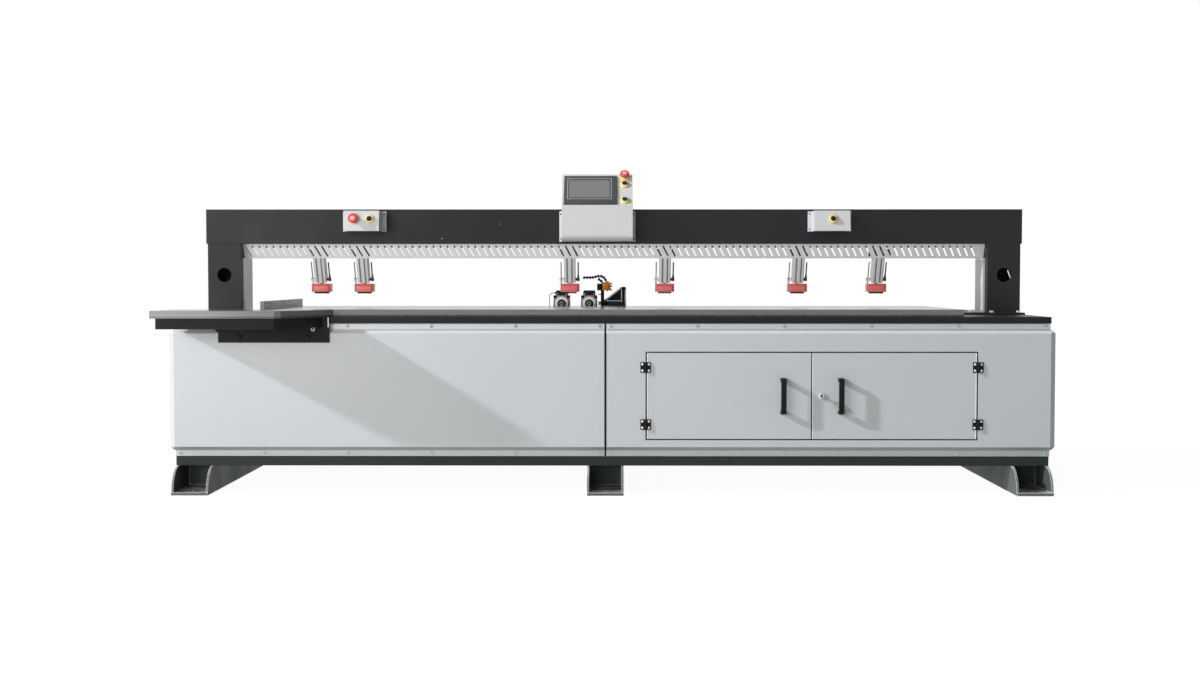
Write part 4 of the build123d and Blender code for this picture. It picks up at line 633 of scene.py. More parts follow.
ground_steel = lined(
    "ground_steel",
    base=rgb(0.45, 0.45, 0.46),
    line=rgb(0.36, 0.36, 0.37),
    stretch=(20.0, 900.0, 900.0),
    rough=(0.2, 0.35),
    bump=(0.05, 0.0002),
    edge=0.0006,
)
zinc = lined(
    "zinc",
    base=rgb(0.58, 0.58, 0.57),
    line=rgb(0.44, 0.45, 0.46),
    stretch=(300.0, 300.0, 300.0),
    rough=(0.25, 0.4),
    bump=(0.08, 0.0002),
    edge=0.0004,
)
dull_chrome = lined(
    "dull_chrome",
    base=rgb(0.40, 0.40, 0.41),
    line=rgb(0.34, 0.34, 0.35),
    stretch=(120.0, 120.0, 120.0),
    rough=(0.08, 0.16),
    bump=(0.02, 0.0001),
    edge=0.0006,
)
fence_grey = lined(
    "fence_grey",
    base=rgb(0.17, 0.165, 0.16),
    line=grey(0.10),
    stretch=(300.0, 14.0, 300.0),
    rough=(0.35, 0.5),
    bump=(0.1, 0.0003),
    edge=0.0012,
    after=[(worn, {"Bare": grey(0.4), "Amount": 0.6})],
    metallic=0.6,
)
print("metal finishes made")

# %% [markdown]
# ### Board and plastics
# The table is a dark laminated board with faint long scuffs. The buttons, the valve and the hose are
# moulded plastics, each with a fine skin. They differ only in colour and gloss, so one short function makes
# them all.

# %% Board finish
board_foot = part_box("table_board")[0].z
board_grey = lined(
    "board_grey",
    base=rgb(0.140, 0.142, 0.147),
    line=rgb(0.106, 0.108, 0.113),
    stretch=(6.0, 90.0, 160.0),
    rough=(0.14, 0.24),
    bump=(0.05, 0.0003),
    edge=0.0015,
    after=[
        (chipped, {"Chip": rgb(0.30, 0.29, 0.27), "Scale": 70.0}),
        # the board is darker along its lowest 7.5 mm
        (banded, {"Tone": rgb(0.042, 0.042, 0.044), "Low": floor_level, "High": board_foot + 0.0075}),
        (worn, {"Bare": grey(0.20), "Amount": 0.5}),
        (dusty, {"Dust": rgb(0.30, 0.29, 0.27), "Amount": 0.35}),
    ],
    metallic=0.0,
)
print("board finish made")


# %% Plastic finishes
def moulded(name, colour, cloud, smooth, rough, bump=0.08):
    """A moulded plastic in one colour, with a fine skin."""
    return painted(name, colour, cloud, (40.0, 1500.0), (smooth, rough), (bump, 0.0002), 0.0006, specular=0.2)


moulded_black = moulded("moulded_black", grey(0.007), grey(0.010), 0.4, 0.5)
collar_yellow = moulded("collar_yellow", rgb(0.80, 0.63, 0.03), rgb(0.75, 0.58, 0.025), 0.3, 0.4)
stop_red = moulded("stop_red", rgb(0.74, 0.085, 0.090), rgb(0.70, 0.070, 0.075), 0.25, 0.35)
mark_pale = moulded("mark_pale", rgb(0.66, 0.50, 0.51), rgb(0.60, 0.44, 0.45), 0.3, 0.4)
ring_white = moulded("ring_white", rgb(0.80, 0.785, 0.74), rgb(0.76, 0.745, 0.70), 0.25, 0.35)
valve_orange = moulded("valve_orange", rgb(0.56, 0.19, 0.03), rgb(0.50, 0.16, 0.025), 0.3, 0.4)
hose_navy = moulded("hose_navy", rgb(0.007, 0.004, 0.055), rgb(0.010, 0.006, 0.07), 0.3, 0.4)
bezel_grey = moulded("bezel_grey", rgb(0.070, 0.072, 0.076), rgb(0.062, 0.064, 0.068), 0.45, 0.55)
bezel_line = moulded("bezel_line", rgb(0.36, 0.362, 0.366), rgb(0.33, 0.332, 0.336), 0.4, 0.5)
screen_grey = moulded("screen_grey", rgb(0.19, 0.192, 0.194), rgb(0.18, 0.182, 0.184), 0.18, 0.24, 0.0)
pad_black = moulded("pad_black", rgb(0.045, 0.030, 0.030), rgb(0.060, 0.042, 0.040), 0.6, 0.75, 0.3)
lead_red = moulded("lead_red", rgb(0.26, 0.018, 0.016), rgb(0.22, 0.014, 0.013), 0.4, 0.5)
fitting_teal = moulded("fitting_teal", rgb(0.15, 0.54, 0.57), rgb(0.13, 0.49, 0.52), 0.3, 0.4)
fitting_pink = moulded("fitting_pink", rgb(0.80, 0.28, 0.40), rgb(0.74, 0.25, 0.36), 0.3, 0.4)
gap_shade_black = moulded("gap_shade_black", grey(0.003), grey(0.004), 0.6, 0.7)
# white for the hinge screws, and for painted highlights on door edges, bracket plate and cable hole
screw_and_highlight_white = moulded("screw_and_highlight_white", rgb(0.86, 0.87, 0.88), rgb(0.84, 0.85, 0.86), 0.3, 0.4)
rod_grey = moulded("rod_grey", rgb(0.10, 0.10, 0.105), rgb(0.08, 0.08, 0.085), 0.3, 0.4)
# painted shade for the barrels' grooves
groove_shade_grey = moulded("groove_shade_grey", rgb(0.26, 0.26, 0.265), rgb(0.22, 0.22, 0.225), 0.4, 0.5)
# painted reflection: the key is blue for the blue reflection in the chrome lock
key_reflection_blue = moulded("key_reflection_blue", rgb(0.030, 0.085, 0.16), rgb(0.025, 0.070, 0.13), 0.2, 0.3)
device_grey = moulded("device_grey", rgb(0.30, 0.31, 0.32), rgb(0.27, 0.28, 0.29), 0.4, 0.5)
print("plastic finishes made")

# %% [markdown]
# ### Which solid gets which finish
# A table by finish is easier to keep right than a line for each solid.

# %% Give the solids their finishes
wears = {
    cover_grey: "left_front_panel right_front_panel end_covers rear_panels left_door right_door",
    box_grey: "console_box button_boxes",
    rail_white: "slotted_rail",
    gantry_black: "gantry_posts gantry_beam",
    base_green: "body_frame rail_beam",
    foot_green: "floor_feet",
    bed_black: "bed_plate",
    board_grey: "table_board wing_board",
    fence_grey: "side_fence",
    clamp_silver: "clamp_barrels",
    barrel_silver: "lock_barrel",
    motor_bronze: "spindle_housings",
    plate_silver: "x_carriage knee_plate spindle_slide",
    ground_steel: "x_guides lift_guides feed_guides drive_pinion",
    zinc: "mounting_bolts",
    dull_chrome: "panel_screws",
    satin_black: "spindle_left spindle_right wing_bracket chain_arm valve_bracket "
    "fixed_hinges left_door_fittings right_door_fittings",
    rod_grey: "clamp_tubes",
    moulded_black: "x_servo terminal_boxes console_upper_button console_lower_button "
    "left_button right_button",
    press_red: "press_1 press_2 press_3 press_4 press_5 press_6",
    collar_yellow: "button_collars",
    stop_red: "console_stop left_stop",
    key_reflection_blue: "lock_key",
    ring_white: "button_rings",
    valve_orange: "air_valve",
    hose_navy: "air_hoses",
    bezel_grey: "console_screen",
    device_grey: "electrical_panel",
}
for coat, solids in wears.items():
    for solid in solids.split():
        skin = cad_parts[solid].data
        skin.materials.clear()
        skin.materials.append(coat)
print("finishes given to", sum(len(solids.split()) for solids in wears.values()), "solids")

# %% [markdown]
# ## Small pieces
# The pieces that follow are made with mesh operators in metres, at the place where they sit. Each rides on
# the body that carries it, so it moves with its joint. They could be modelled at the origin and then moved,
# but a finish on Object coordinates would not match its neighbours then.


# %% Shape helpers
def aimed(at, direction):
    """A matrix that turns the Z axis to a direction and moves it to a place."""
    turn = Vector(direction).to_track_quat("Z", "Y").to_matrix().to_4x4()
    return Matrix.Translation(at) @ turn


def coat_new(bm, before, coat):
    """Gives a coat to the faces that were not there before."""
    for face in bm.faces:
        if face not in before:
            face.material_index = coat


def cut_edges(bm, edges, width, steps):
    """A bevel along edges: flat in one step, round in more."""
    bmesh.ops.bevel(bm, geom=edges, offset=width, segments=steps, profile=0.5, affect="EDGES", material=-1)


def add_box(bm, low, high, round_edge=0.0, coat=0, place=None):
    """A box between two corners, with its edges rounded."""
    before = set(bm.faces)
    verts = bmesh.ops.create_cube(bm, size=1.0)["verts"]
    bmesh.ops.scale(bm, vec=[b - a for a, b in zip(low, high)], verts=verts)
    bmesh.ops.translate(bm, vec=[(a + b) / 2 for a, b in zip(low, high)], verts=verts)
    if place is not None:
        bmesh.ops.transform(bm, matrix=place, verts=verts)
    if round_edge:
        cut_edges(bm, list({edge for vert in verts for edge in vert.link_edges}), round_edge, 2)
    coat_new(bm, before, coat)


def add_round(bm, place, radius, length, coat=0, steps=24, top=None):
    """A round bar or cone from a place along its Z axis."""
    before = set(bm.faces)
    bmesh.ops.create_cone(
        bm,
        cap_ends=True,
        segments=steps,
        radius1=radius,
        radius2=radius if top is None else top,
        depth=length,
        matrix=place @ Matrix.Translation((0, 0, length / 2)),
    )
    coat_new(bm, before, coat)


def add_turned(bm, profile, place, coat=0, steps=32):
    """A turned shape: points of radius and height, spun once around the Z axis of a place."""
    before = set(bm.faces)
    rail = [bm.verts.new((radius, 0.0, height)) for radius, height in profile]
    edges = [bm.edges.new(pair) for pair in zip(rail, rail[1:])]
    old = set(bm.verts) - set(rail)
    bmesh.ops.spin(
        bm, geom=rail + edges, cent=(0, 0, 0), axis=(0, 0, 1), angle=2 * pi, steps=steps, use_merge=True
    )
    bmesh.ops.transform(bm, matrix=place, verts=[vert for vert in bm.verts if vert not in old])
    coat_new(bm, before, coat)


print("shape helpers ready")


# %% Piece helper
def piece(name, bm, coats, body, replaced=()):
    """A finished piece from a mesh, with its coats, on the body that carries it."""
    bmesh.ops.remove_doubles(bm, verts=bm.verts, dist=1e-6)
    bmesh.ops.recalc_face_normals(bm, faces=bm.faces)
    mesh = bpy.data.meshes.new(name)
    bm.to_mesh(mesh)
    bm.free()
    for coat in coats:
        mesh.materials.append(coat)
    mesh.shade_smooth()
    mesh.set_sharp_from_angle(angle=radians(32))
    thing = bpy.data.objects.new(name, mesh)
    scene.collection.objects.link(thing)
    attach(thing, body)
    if replaced:
        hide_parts(*replaced)


print("piece helper ready")

# %% [markdown]
# ### Press blocks
# Each clamp pushes a red block with its front edges cut, a ribbed dark pad under it, a piston rod and a thin
# guide rod. The block could be drawn as a profile and extruded, but a cube is quicker: three of its front
# edges get a wide bevel, and all edges a fine one. The pad's ribs are a row of small boxes.

# %% Press blocks
clamp_lean = radians(27.0)
up_clamp = Vector((0.0, -sin(clamp_lean), cos(clamp_lean)))
pad_height, block_height, block_depth = 0.007, 0.034, 0.062
front_cut, fine_edge, cut_level = 0.0110, 0.0012, 0.03
rod_radius, rod_length, rod_sink = 0.008, 0.095, 0.002
guide_radius, guide_length, guide_shift = 0.0024, 0.103, 0.036
pad_half_wide, pad_half_deep, pad_sole = 0.0275, 0.024, 0.003
rib_count, rib_inset, rib_pitch, rib_wide, rib_height = 6, 0.001, 0.0094, 0.006, 0.004
for number in range(1, 7):
    low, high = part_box(f"press_{number}")
    x, y = (low.x + high.x) / 2, high.y - block_depth / 2
    top = low.z + pad_height + block_height
    bm = bmesh.new()
    verts = bmesh.ops.create_cube(bm, size=1.0)["verts"]
    bmesh.ops.scale(bm, vec=(high.x - low.x, block_depth, block_height), verts=verts)
    bmesh.ops.translate(bm, vec=(x, y, top - block_height / 2), verts=verts)
    in_front = [edge for edge in bm.edges if all(vert.co.y < y for vert in edge.verts)]
    cut_edges(bm, [e for e in in_front if any(v.co.z > low.z + cut_level for v in e.verts)], front_cut, 1)
    cut_edges(bm, bm.edges[:], fine_edge, 2)
    rod_foot = aimed(Vector((x, y, top)) - rod_sink * up_clamp, up_clamp)
    add_round(bm, rod_foot, rod_radius, rod_length, coat=1)
    guide_foot = aimed(Vector((x - guide_shift, y, top)) - rod_sink * up_clamp, up_clamp)
    add_round(bm, guide_foot, guide_radius, guide_length, coat=1, steps=16)
    pad_left, pad_right = x - pad_half_wide, x + pad_half_wide
    pad_front, pad_back = y - pad_half_deep, y + pad_half_deep
    pad_top = low.z + pad_height + 0.0005
    add_box(bm, (pad_left, pad_front, low.z + pad_sole), (pad_right, pad_back, pad_top), 0.0008, 2)
    for rib in range(rib_count):
        left = pad_left + rib_inset + rib * rib_pitch
        add_box(bm, (left, pad_front, low.z), (left + rib_wide, pad_back, low.z + rib_height), 0.0006, 2)
    coats = (press_red, zinc, pad_black)
    piece(f"press_block_{number}", bm, coats, f"clamp_press_{number}", [f"press_{number}"])
print("six press blocks made")

# %% [markdown]
# ### Clamp barrels
# The barrels are drawn profile with two grooves in front. Grey strips lie in the grooves as painted shade, so
# that they read dark. An air tube stands beside each, in a fitting with a cone on it, and two dark plates
# hold the barrel behind the slotted rail. One clamp could be dressed and copied, but with one matrix per
# clamp all of it is made along the clamp's axis, in place. A dark strip along the rail's lip, behind the
# upper ends of the slots, is painted shade.

# %% Clamp barrels
down_clamp = -up_clamp
front_clamp = Vector((0.0, -cos(clamp_lean), -sin(clamp_lean)))
turn_clamp = Matrix((Vector((1.0, 0.0, 0.0)), front_clamp, down_clamp)).transposed().to_4x4()
barrel_head = Vector((0.0, -0.0560, 0.9486))
groove_shift, groove_half = 0.010, 0.0029
groove_runs = (((0.0198, 0.001), (0.0206, 0.149)), ((0.0238, 0.132), (0.0243, 0.1495)))
plate_in, plate_out = 0.0245, 0.046
tube_shift, tube_radius, tube_length = 0.035, 0.0028, 0.074
cone = ((0.0028, 0.0), (0.0032, 0.001), (0.0062, 0.024), (0.0062, 0.030), (0.0, 0.030))
grooves, tubes, plates = bmesh.new(), bmesh.new(), bmesh.new()
for number in range(1, 7):
    low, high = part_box(f"press_{number}")
    on_clamp = Matrix.Translation(barrel_head + Vector(((low.x + high.x) / 2, 0.0, 0.0))) @ turn_clamp
    for across in (-groove_shift, groove_shift):
        for start, end in groove_runs:
            # painted shade: grey strips in the front grooves
            add_box(grooves, (across - groove_half, *start), (across + groove_half, *end), place=on_clamp)
    for side in (-1, 1):
        left, right = sorted((side * plate_in, side * plate_out))
        add_box(plates, (left, 0.017, -0.006), (right, 0.0235, 0.029), 0.0008, 0, on_clamp)
    add_round(tubes, on_clamp @ Matrix.Translation((tube_shift, 0.0, 0.065)), tube_radius, tube_length, 0, 16)
    add_turned(tubes, cone, on_clamp @ Matrix.Translation((tube_shift, 0.0, 0.120)), 1, 20)
    add_box(tubes, (0.0235, -0.004, 0.139), (tube_shift, 0.004, 0.149), 0.0008, 1, on_clamp)
piece("barrel_groove_shade", grooves, (groove_shade_grey,), "machine")
piece("air_tubes", tubes, (moulded_black, rod_grey), "machine", ["clamp_tubes"])
rail_low, rail_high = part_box("slotted_rail")
lip_y, lip_inset = rail_front + 0.108, 0.012
# painted shade: a dark strip behind the upper ends of the slots, where the beam's shade falls
strip_low = (rail_low.x + lip_inset, lip_y - 0.0020, beam_low - 0.0135)
add_box(plates, strip_low, (rail_high.x - lip_inset, lip_y, beam_low - 0.007), 0.0004)
piece("clamp_plates", plates, (satin_black,), "machine")
print("six barrels dressed")

# %% [markdown]
# ### Touch screen
# The operator's screen is a dark bezel with a fine pale line and a flat grey display. It lies on a slope of
# 45 degrees. It could be modelled on the slope, but it is easier made flat and turned by one matrix.

# %% Touch screen
low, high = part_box("console_screen")
half_wide = (high.x - low.x) / 2
half_tall, bezel_front, bezel_back, corner_round = 0.084, 0.008, 0.004, 0.0029
corner_run = (half_tall - corner_round + bezel_front) * sin(radians(45.0))
screen_middle = Vector(((low.x + high.x) / 2, low.y + corner_run, high.z - corner_run))
on_screen = Matrix.Translation(screen_middle) @ Matrix.Rotation(radians(45.0), 4, "X")
bm = bmesh.new()
verts = bmesh.ops.create_cube(bm, size=1.0)["verts"]
bmesh.ops.scale(bm, vec=(2 * half_wide, 2 * half_tall, bezel_front + bezel_back), verts=verts)
bmesh.ops.translate(bm, vec=(0.0, 0.0, (bezel_front - bezel_back) / 2), verts=verts)
cut_edges(bm, [edge for edge in bm.edges if all(vert.co.z > 0.0 for vert in edge.verts)], 0.0045, 3)
line_left, line_right, line_low, line_high = -0.0935, 0.0865, -0.059, 0.066
line_wide, sunk = 0.0030, bezel_front - 0.001
for a, b in (
    ((line_left, line_low), (line_right, line_low + line_wide)),
    ((line_left, line_high - line_wide), (line_right, line_high)),
    ((line_left, line_low + line_wide), (line_left + line_wide, line_high - line_wide)),
    ((line_right - line_wide, line_low + line_wide), (line_right, line_high - line_wide)),
):
    add_box(bm, (*a, sunk), (*b, bezel_front + 0.0004), coat=1)
add_box(bm, (-0.086, -0.049, sunk), (0.079, 0.054, bezel_front + 0.0005), coat=2)
bmesh.ops.transform(bm, matrix=on_screen, verts=bm.verts)
piece("screen_front", bm, (bezel_grey, bezel_line, screen_grey), "machine", ["console_screen"])
print("screen at", tuple(round(v, 3) for v in screen_middle))

# %% [markdown]
# ### Buttons
# The push buttons are black caps with a shallow dish, and the stop buttons are red mushrooms with a pale
# mark on top. Stacked cylinders would show steps. All of them are turned parts, so each is one profile spun
# around its axis. The lowest and highest corners of a button's solid give the point where its axis meets the
# panel.


# %% Push buttons
def seat_of(node, lean, reach, rim, rounding):
    """The place on the panel under a button, with the Z axis along the button."""
    low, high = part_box(node)
    out, up = cos(radians(lean)), sin(radians(lean))
    y = low.y + reach * out + rim * up + rounding
    z = high.z - reach * up - rim * out - rounding
    return aimed(((low.x + high.x) / 2, y, z), (0.0, -out, up))


console_lean, box_lean = 45.0, 8.0
cap = (
    (0.0, -0.0155),
    (0.0088, -0.0155),
    (0.0088, 0.0113),
    (0.0102, 0.0113),
    (0.0106, 0.0116),
    (0.0104, 0.0119),
    (0.0092, 0.0120),
    (0.0060, 0.0115),
    (0.0, 0.0113),
)
for node, body, lean in (
    ("console_upper_button", "upper_button_on_console", console_lean),
    ("console_lower_button", "lower_button_on_console", console_lean),
    ("left_button", "button_on_left_box", box_lean),
    ("right_button", "button_on_right_box", box_lean),
):
    bm = bmesh.new()
    add_turned(bm, cap, seat_of(node, lean, reach=0.011, rim=0.008, rounding=0.001))
    piece(f"cap_{node}", bm, (moulded_black,), body, [node])
print("four caps made")

# %% Stop buttons
mushroom = (
    (0.0, -0.0125),
    (0.0088, -0.0125),
    (0.0088, 0.0143),
    (0.0165, 0.0143),
    (0.0195, 0.0162),
    (0.0199, 0.0190),
    (0.0197, 0.0225),
    (0.0184, 0.0256),
    (0.0158, 0.0275),
    (0.0125, 0.0279),
    (0.0100, 0.0274),
    (0.0, 0.0272),
)
mark = ((0.0, 0.0270), (0.0086, 0.0270), (0.0086, 0.0276), (0.0078, 0.0278), (0.0, 0.0278))
for node, body, lean in (
    ("console_stop", "stop_on_console", console_lean),
    ("left_stop", "stop_on_left_box", box_lean),
):
    seat = seat_of(node, lean, reach=0.023, rim=0.015, rounding=0.005)
    bm = bmesh.new()
    add_turned(bm, mushroom, seat, 0, 48)
    add_turned(bm, mark, seat, 1, 32)
    piece(f"mushroom_{node}", bm, (stop_red, mark_pale), body, [node])
print("two stop buttons made")

# %% [markdown]
# ### Door edges and panel seam
# The doors have a black bar at their hinge side, painted shade in the gap, and a bright bar beside it, a
# painted highlight of the sheet's rounded edge; the right door has a bright bar, a painted highlight, where
# they meet. A black bar in the seam between the two front covers is painted shade. A band in the paint could
# show them, but these are thin bars, a few millimetres wide, that stand half a millimetre proud of the sheet.


# %% Door edges
def add_bar(bm, left, right, low, high, coat):
    """A thin upright bar on a sheet between two places across."""
    add_box(bm, (left, low.y - 0.0006, low.z + 0.001), (right, low.y + 0.0008, high.z - 0.001), 0.0003, coat)


shade_start, shade_end, highlight_start, highlight_end = 0.0001, 0.0030, 0.0032, 0.0062
low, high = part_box("left_door")
bm = bmesh.new()
# painted shade in the gap, then a painted highlight beside it
add_bar(bm, low.x + shade_start, low.x + shade_end, low, high, 0)
add_bar(bm, low.x + highlight_start, low.x + highlight_end, low, high, 1)
piece("door_edge_left", bm, (gap_shade_black, screw_and_highlight_white), "door_left")
low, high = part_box("right_door")
bm = bmesh.new()
# painted shade in the gap, then a painted highlight beside it
add_bar(bm, high.x - shade_end, high.x - shade_start, low, high, 0)
add_bar(bm, high.x - highlight_end, high.x - highlight_start, low, high, 1)
# painted highlight where the doors meet
add_bar(bm, low.x + 0.0004, low.x + 0.0030, low, high, 1)
piece("door_edge_right", bm, (gap_shade_black, screw_and_highlight_white), "door_right")
print("door edges made")

# %% Panel seam
low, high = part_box("left_front_panel")
seam, shade_half = (high.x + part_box("right_front_panel")[0].x) / 2, 0.0040
left, right = seam - shade_half, seam + shade_half
bm = bmesh.new()
# painted shade: a black bar fills the seam between the covers and its gaps in the folds
add_box(bm, (left, low.y - 0.0006, low.z + fold), (right, low.y + 0.003, high.z - fold))
for level in (low.z + 0.001, high.z - 0.023):
    add_box(bm, (left, low.y + 0.0214, level), (right, low.y + 0.024, level + 0.022))
piece("panel_seam_shade", bm, (gap_shade_black,), "machine")
print("seam at", round(seam, 4))

# %% [markdown]
# ### Hinge and ear screws
# Hinge screws are low domes. A sphere cut in half would be too tall, so they are turned from a short profile.
# The ears of the console and of the button boxes have smaller dark screws of the same shape.

# %% Hinge and ear screws
dome = ((0.0044, 0.0), (0.0041, 0.0008), (0.0028, 0.0016), (0.0, 0.0019))
small_dome = [(radius * 0.7, height) for radius, height in dome]
forward, sink = Vector((0.0, -1.0, 0.0)), 0.0003
low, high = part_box("fixed_hinges")
leaf_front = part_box("left_door")[0].y - 0.003
hinge_rows = [level + step for level in (low.z + 0.020, high.z - 0.020) for step in (-0.012, 0.012)]
hinge_screws = {
    "machine": (low.x + 0.0075, high.x - 0.0075),
    "door_left": (low.x + 0.0325,),
    "door_right": (high.x - 0.0325,),
}
for body, columns in hinge_screws.items():
    bm = bmesh.new()
    for x in columns:
        for z in hinge_rows:
            add_turned(bm, dome, aimed((x, leaf_front + sink, z), forward), steps=16)
    piece(f"hinge_screws_{body}", bm, (screw_and_highlight_white,), body)

beam_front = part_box("gantry_beam")[0].y
ear_front = beam_front - 0.002
bm = bmesh.new()
for node, ear_columns, rows in (
    ("console_box", (0.006, -0.006), (0.012, 0.112)),
    ("button_boxes", (0.0085, 0.1685, -0.0085, -0.1685), (0.010, 0.072)),
):
    low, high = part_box(node)
    for shift in ear_columns:
        x = low.x + shift if shift > 0 else high.x + shift
        for rise in rows:
            add_turned(bm, small_dome, aimed((x, ear_front + sink, low.z + rise), forward), steps=16)
piece("ear_screws", bm, (satin_black,), "machine")
print("hinge and ear screws made")

# %% [markdown]
# ### Strip at the cable hole
# A short white strip leans beside the cable hole of the right post: a painted glint, where the hole's edge
# catches the light. It could be a band in the black paint, but it is a small box, turned by one matrix.

# %% Strip at the cable hole
strip_x, strip_z, strip_lean = 1.6210, 0.8415, radians(-20.0)
strip_half_wide, strip_half_tall = 0.0018, 0.0165
leaning = Matrix.Translation((strip_x, beam_front, strip_z)) @ Matrix.Rotation(strip_lean, 4, "Y")
bm = bmesh.new()
strip_low = (-strip_half_wide, -0.0008, -strip_half_tall)
# painted glint at the hole's edge
add_box(bm, strip_low, (strip_half_wide, 0.0012, strip_half_tall), 0.0003, 0, leaning)
piece("hole_glint", bm, (screw_and_highlight_white,), "machine")
print("strip made")

# %% [markdown]
# ### Bolts and bracket trim
# The gantry stands on zinc hexagon bolts with washers, and two black ones hold the wing bracket; together
# these stand for the plain bolts of the frame. A hexagon could be drawn and extruded, but the cone operator
# makes one with six sides, and a bevel rounds it. A white ring and a bright upright strip on the bracket's
# plate are painted highlights, where a hole's rim and the plate's end catch the light.

# %% Mounting bolts
low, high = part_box("mounting_bolts")
flange_low, flange_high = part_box("gantry_posts")
bracket_low, bracket_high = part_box("wing_bracket")
bolt_head, washer, washer_radius, hexagon_radius = 0.008, 0.0015, 0.0125, 0.0098
bm = bmesh.new()


def add_bolt(at, direction, coat):
    """A hexagon head with a rounded top, on a washer."""
    seat = aimed(at, direction)
    add_round(bm, seat, washer_radius, washer, coat)
    before = set(bm.edges)
    add_round(bm, seat @ Matrix.Translation((0, 0, washer)), hexagon_radius, bolt_head - washer, coat, 6)
    cut_edges(bm, [edge for edge in bm.edges if edge not in before], 0.0009, 2)


flange_top, plate_front = high.z - bolt_head, low.y + bolt_head
post_rows = (flange_low.y + 0.024, flange_high.y - 0.024)
middle_x = (flange_low.x + flange_high.x) / 2
for x in (high.x - 0.010, high.x - 0.118):
    for column in (x, 2 * middle_x - x):
        for y in post_rows:
            add_bolt((column, y, flange_top), (0, 0, 1), 0)
plate_columns = (-1.4235, -1.1615)
for x in plate_columns:
    add_bolt((x, plate_front, bracket_low.z + 0.022), (0, -1, 0), 1)
piece("hexagon_bolts", bm, (zinc, satin_black), "machine", ["mounting_bolts"])
print("bolts made")

# %% Bracket trim
plate_ring = ((0.0046, 0.0), (0.0046, 0.0022), (0.0072, 0.0022), (0.0080, 0.0), (0.0046, 0.0))
ring_at = (-1.142, plate_front + sink, bracket_low.z + 0.052)
edge_x = bracket_high.x - 0.0010
edge_low = (edge_x - 0.0040, plate_front - 0.0006, bracket_low.z + 0.060)
bm = bmesh.new()
# painted highlight: a white ring where a hole's rim catches the light
add_turned(bm, plate_ring, aimed(ring_at, forward), 0, 24)
# painted highlight: a bright upright strip at the plate's end
add_box(bm, edge_low, (edge_x, plate_front + 0.0008, bracket_high.z - 0.002), 0.0003)
piece("bracket_highlights", bm, (screw_and_highlight_white,), "machine")
print("bracket trim made")

# %% [markdown]
# ### Motor fronts
# The two spindle motors are a dull bronze, with black corner blocks in front, a bright ring around the nose
# and a collet in it. The blocks could be cut from one plate, but single boxes are easier to set.

# %% Motor fronts and collets
low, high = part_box("spindle_housings")
motor_half, block_out = 0.035, 0.0355
block_front, block_back = low.y + 0.0040, low.y + 0.040
blocks = [(0.0225, level, level + 0.011) for level in (high.z - 0.0115, low.z + 0.0005)]
blocks.append((0.0305, low.z + 0.020, low.z + 0.046))
nose_ring = ((0.0185, 0.0), (0.0185, 0.0056), (0.0290, 0.0056), (0.0300, 0.0046), (0.0300, 0.0))
bm = bmesh.new()
for x in (low.x + motor_half, high.x - motor_half):
    for side in (-1, 1):
        for block_in, bottom, top in blocks:
            left, right = sorted((x + side * block_out, x + side * block_in))
            add_box(bm, (left, block_front, bottom), (right, block_back, top), 0.0012)
    add_turned(bm, nose_ring, aimed((x, low.y + 0.0053, (low.z + high.z) / 2), forward), 1)
piece("motor_fronts", bm, (satin_black, barrel_silver), "slide")

collet_ring = ((0.0050, 0.0), (0.0050, 0.0020), (0.0085, 0.0020), (0.0095, 0.0))
for side in ("left", "right"):
    low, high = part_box(f"spindle_{side}")
    middle = ((low.x + high.x) / 2, low.y + 0.0012, (low.z + high.z) / 2)
    bm = bmesh.new()
    add_turned(bm, collet_ring, aimed(middle, forward))
    piece(f"collet_{side}", bm, (ground_steel,), f"{side}_spindle")
print("motor fronts and collets made")

# %% [markdown]
# ### Terminal boxes and lead
# The motors' terminal boxes have lids with rounder edges, two screws each, and a gland at the left one. A
# thin red lead leaves it and hangs in a bend. It could be a chain of bars, but a curve with a round bevel
# keeps its thickness.

# %% Terminal boxes
low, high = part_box("terminal_boxes")
box_low, box_half, box_pitch = high.z - 0.022, 0.027, 0.121
box_columns = (high.x - box_half, high.x - box_half - box_pitch)
gland_y, gland_z = (low.y + high.y) / 2, box_low + 0.011
gland = ((0.0045, 0.0), (0.0045, 0.003), (0.0028, 0.007), (0.0018, 0.007))
bm = bmesh.new()
for x in box_columns:
    add_box(bm, (x - box_half, low.y, box_low), (x + box_half, high.y, high.z - 0.008), 0.0015)
    lid_low = (x - box_half + 0.001, low.y + 0.001, box_low + 0.012)
    add_box(bm, lid_low, (x + box_half - 0.001, high.y - 0.001, high.z), 0.003)
    for side in (-1, 1):
        screw = aimed((x + side * 0.020, low.y + 0.0005, box_low + 0.006), forward)
        add_turned(bm, small_dome, screw, 1, 12)
add_turned(bm, gland, aimed((box_columns[1] - box_half + 0.001, gland_y, gland_z), (-1, 0, 0)), 0, 16)
piece("terminal_box_pair", bm, (moulded_black, zinc), "slide", ["terminal_boxes"])
print("terminal boxes made")

# %% Motor lead
route = bpy.data.curves.new("motor_lead", "CURVE")
route.dimensions = "3D"
route.bevel_depth = 0.0015
route.bevel_resolution = 4
route.resolution_u = 16
route.use_fill_caps = True
lead_x, lead_reach = box_columns[1] - box_half, 0.028
lead_points = (
    (lead_x, gland_y, gland_z),
    (lead_x - lead_reach, gland_y, gland_z),
    (lead_x - lead_reach, gland_y, gland_z - lead_reach),
    (lead_x - lead_reach, gland_y, low.z),
)
line = route.splines.new("NURBS")
line.points.add(len(lead_points) - 1)
for point, at in zip(line.points, lead_points):
    point.co = (*at, 1.0)
line.order_u = 3
line.use_endpoint_u = True
route.materials.append(lead_red)
lead = bpy.data.objects.new("motor_lead", route)
scene.collection.objects.link(lead)
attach(lead, "slide")
print("lead made")

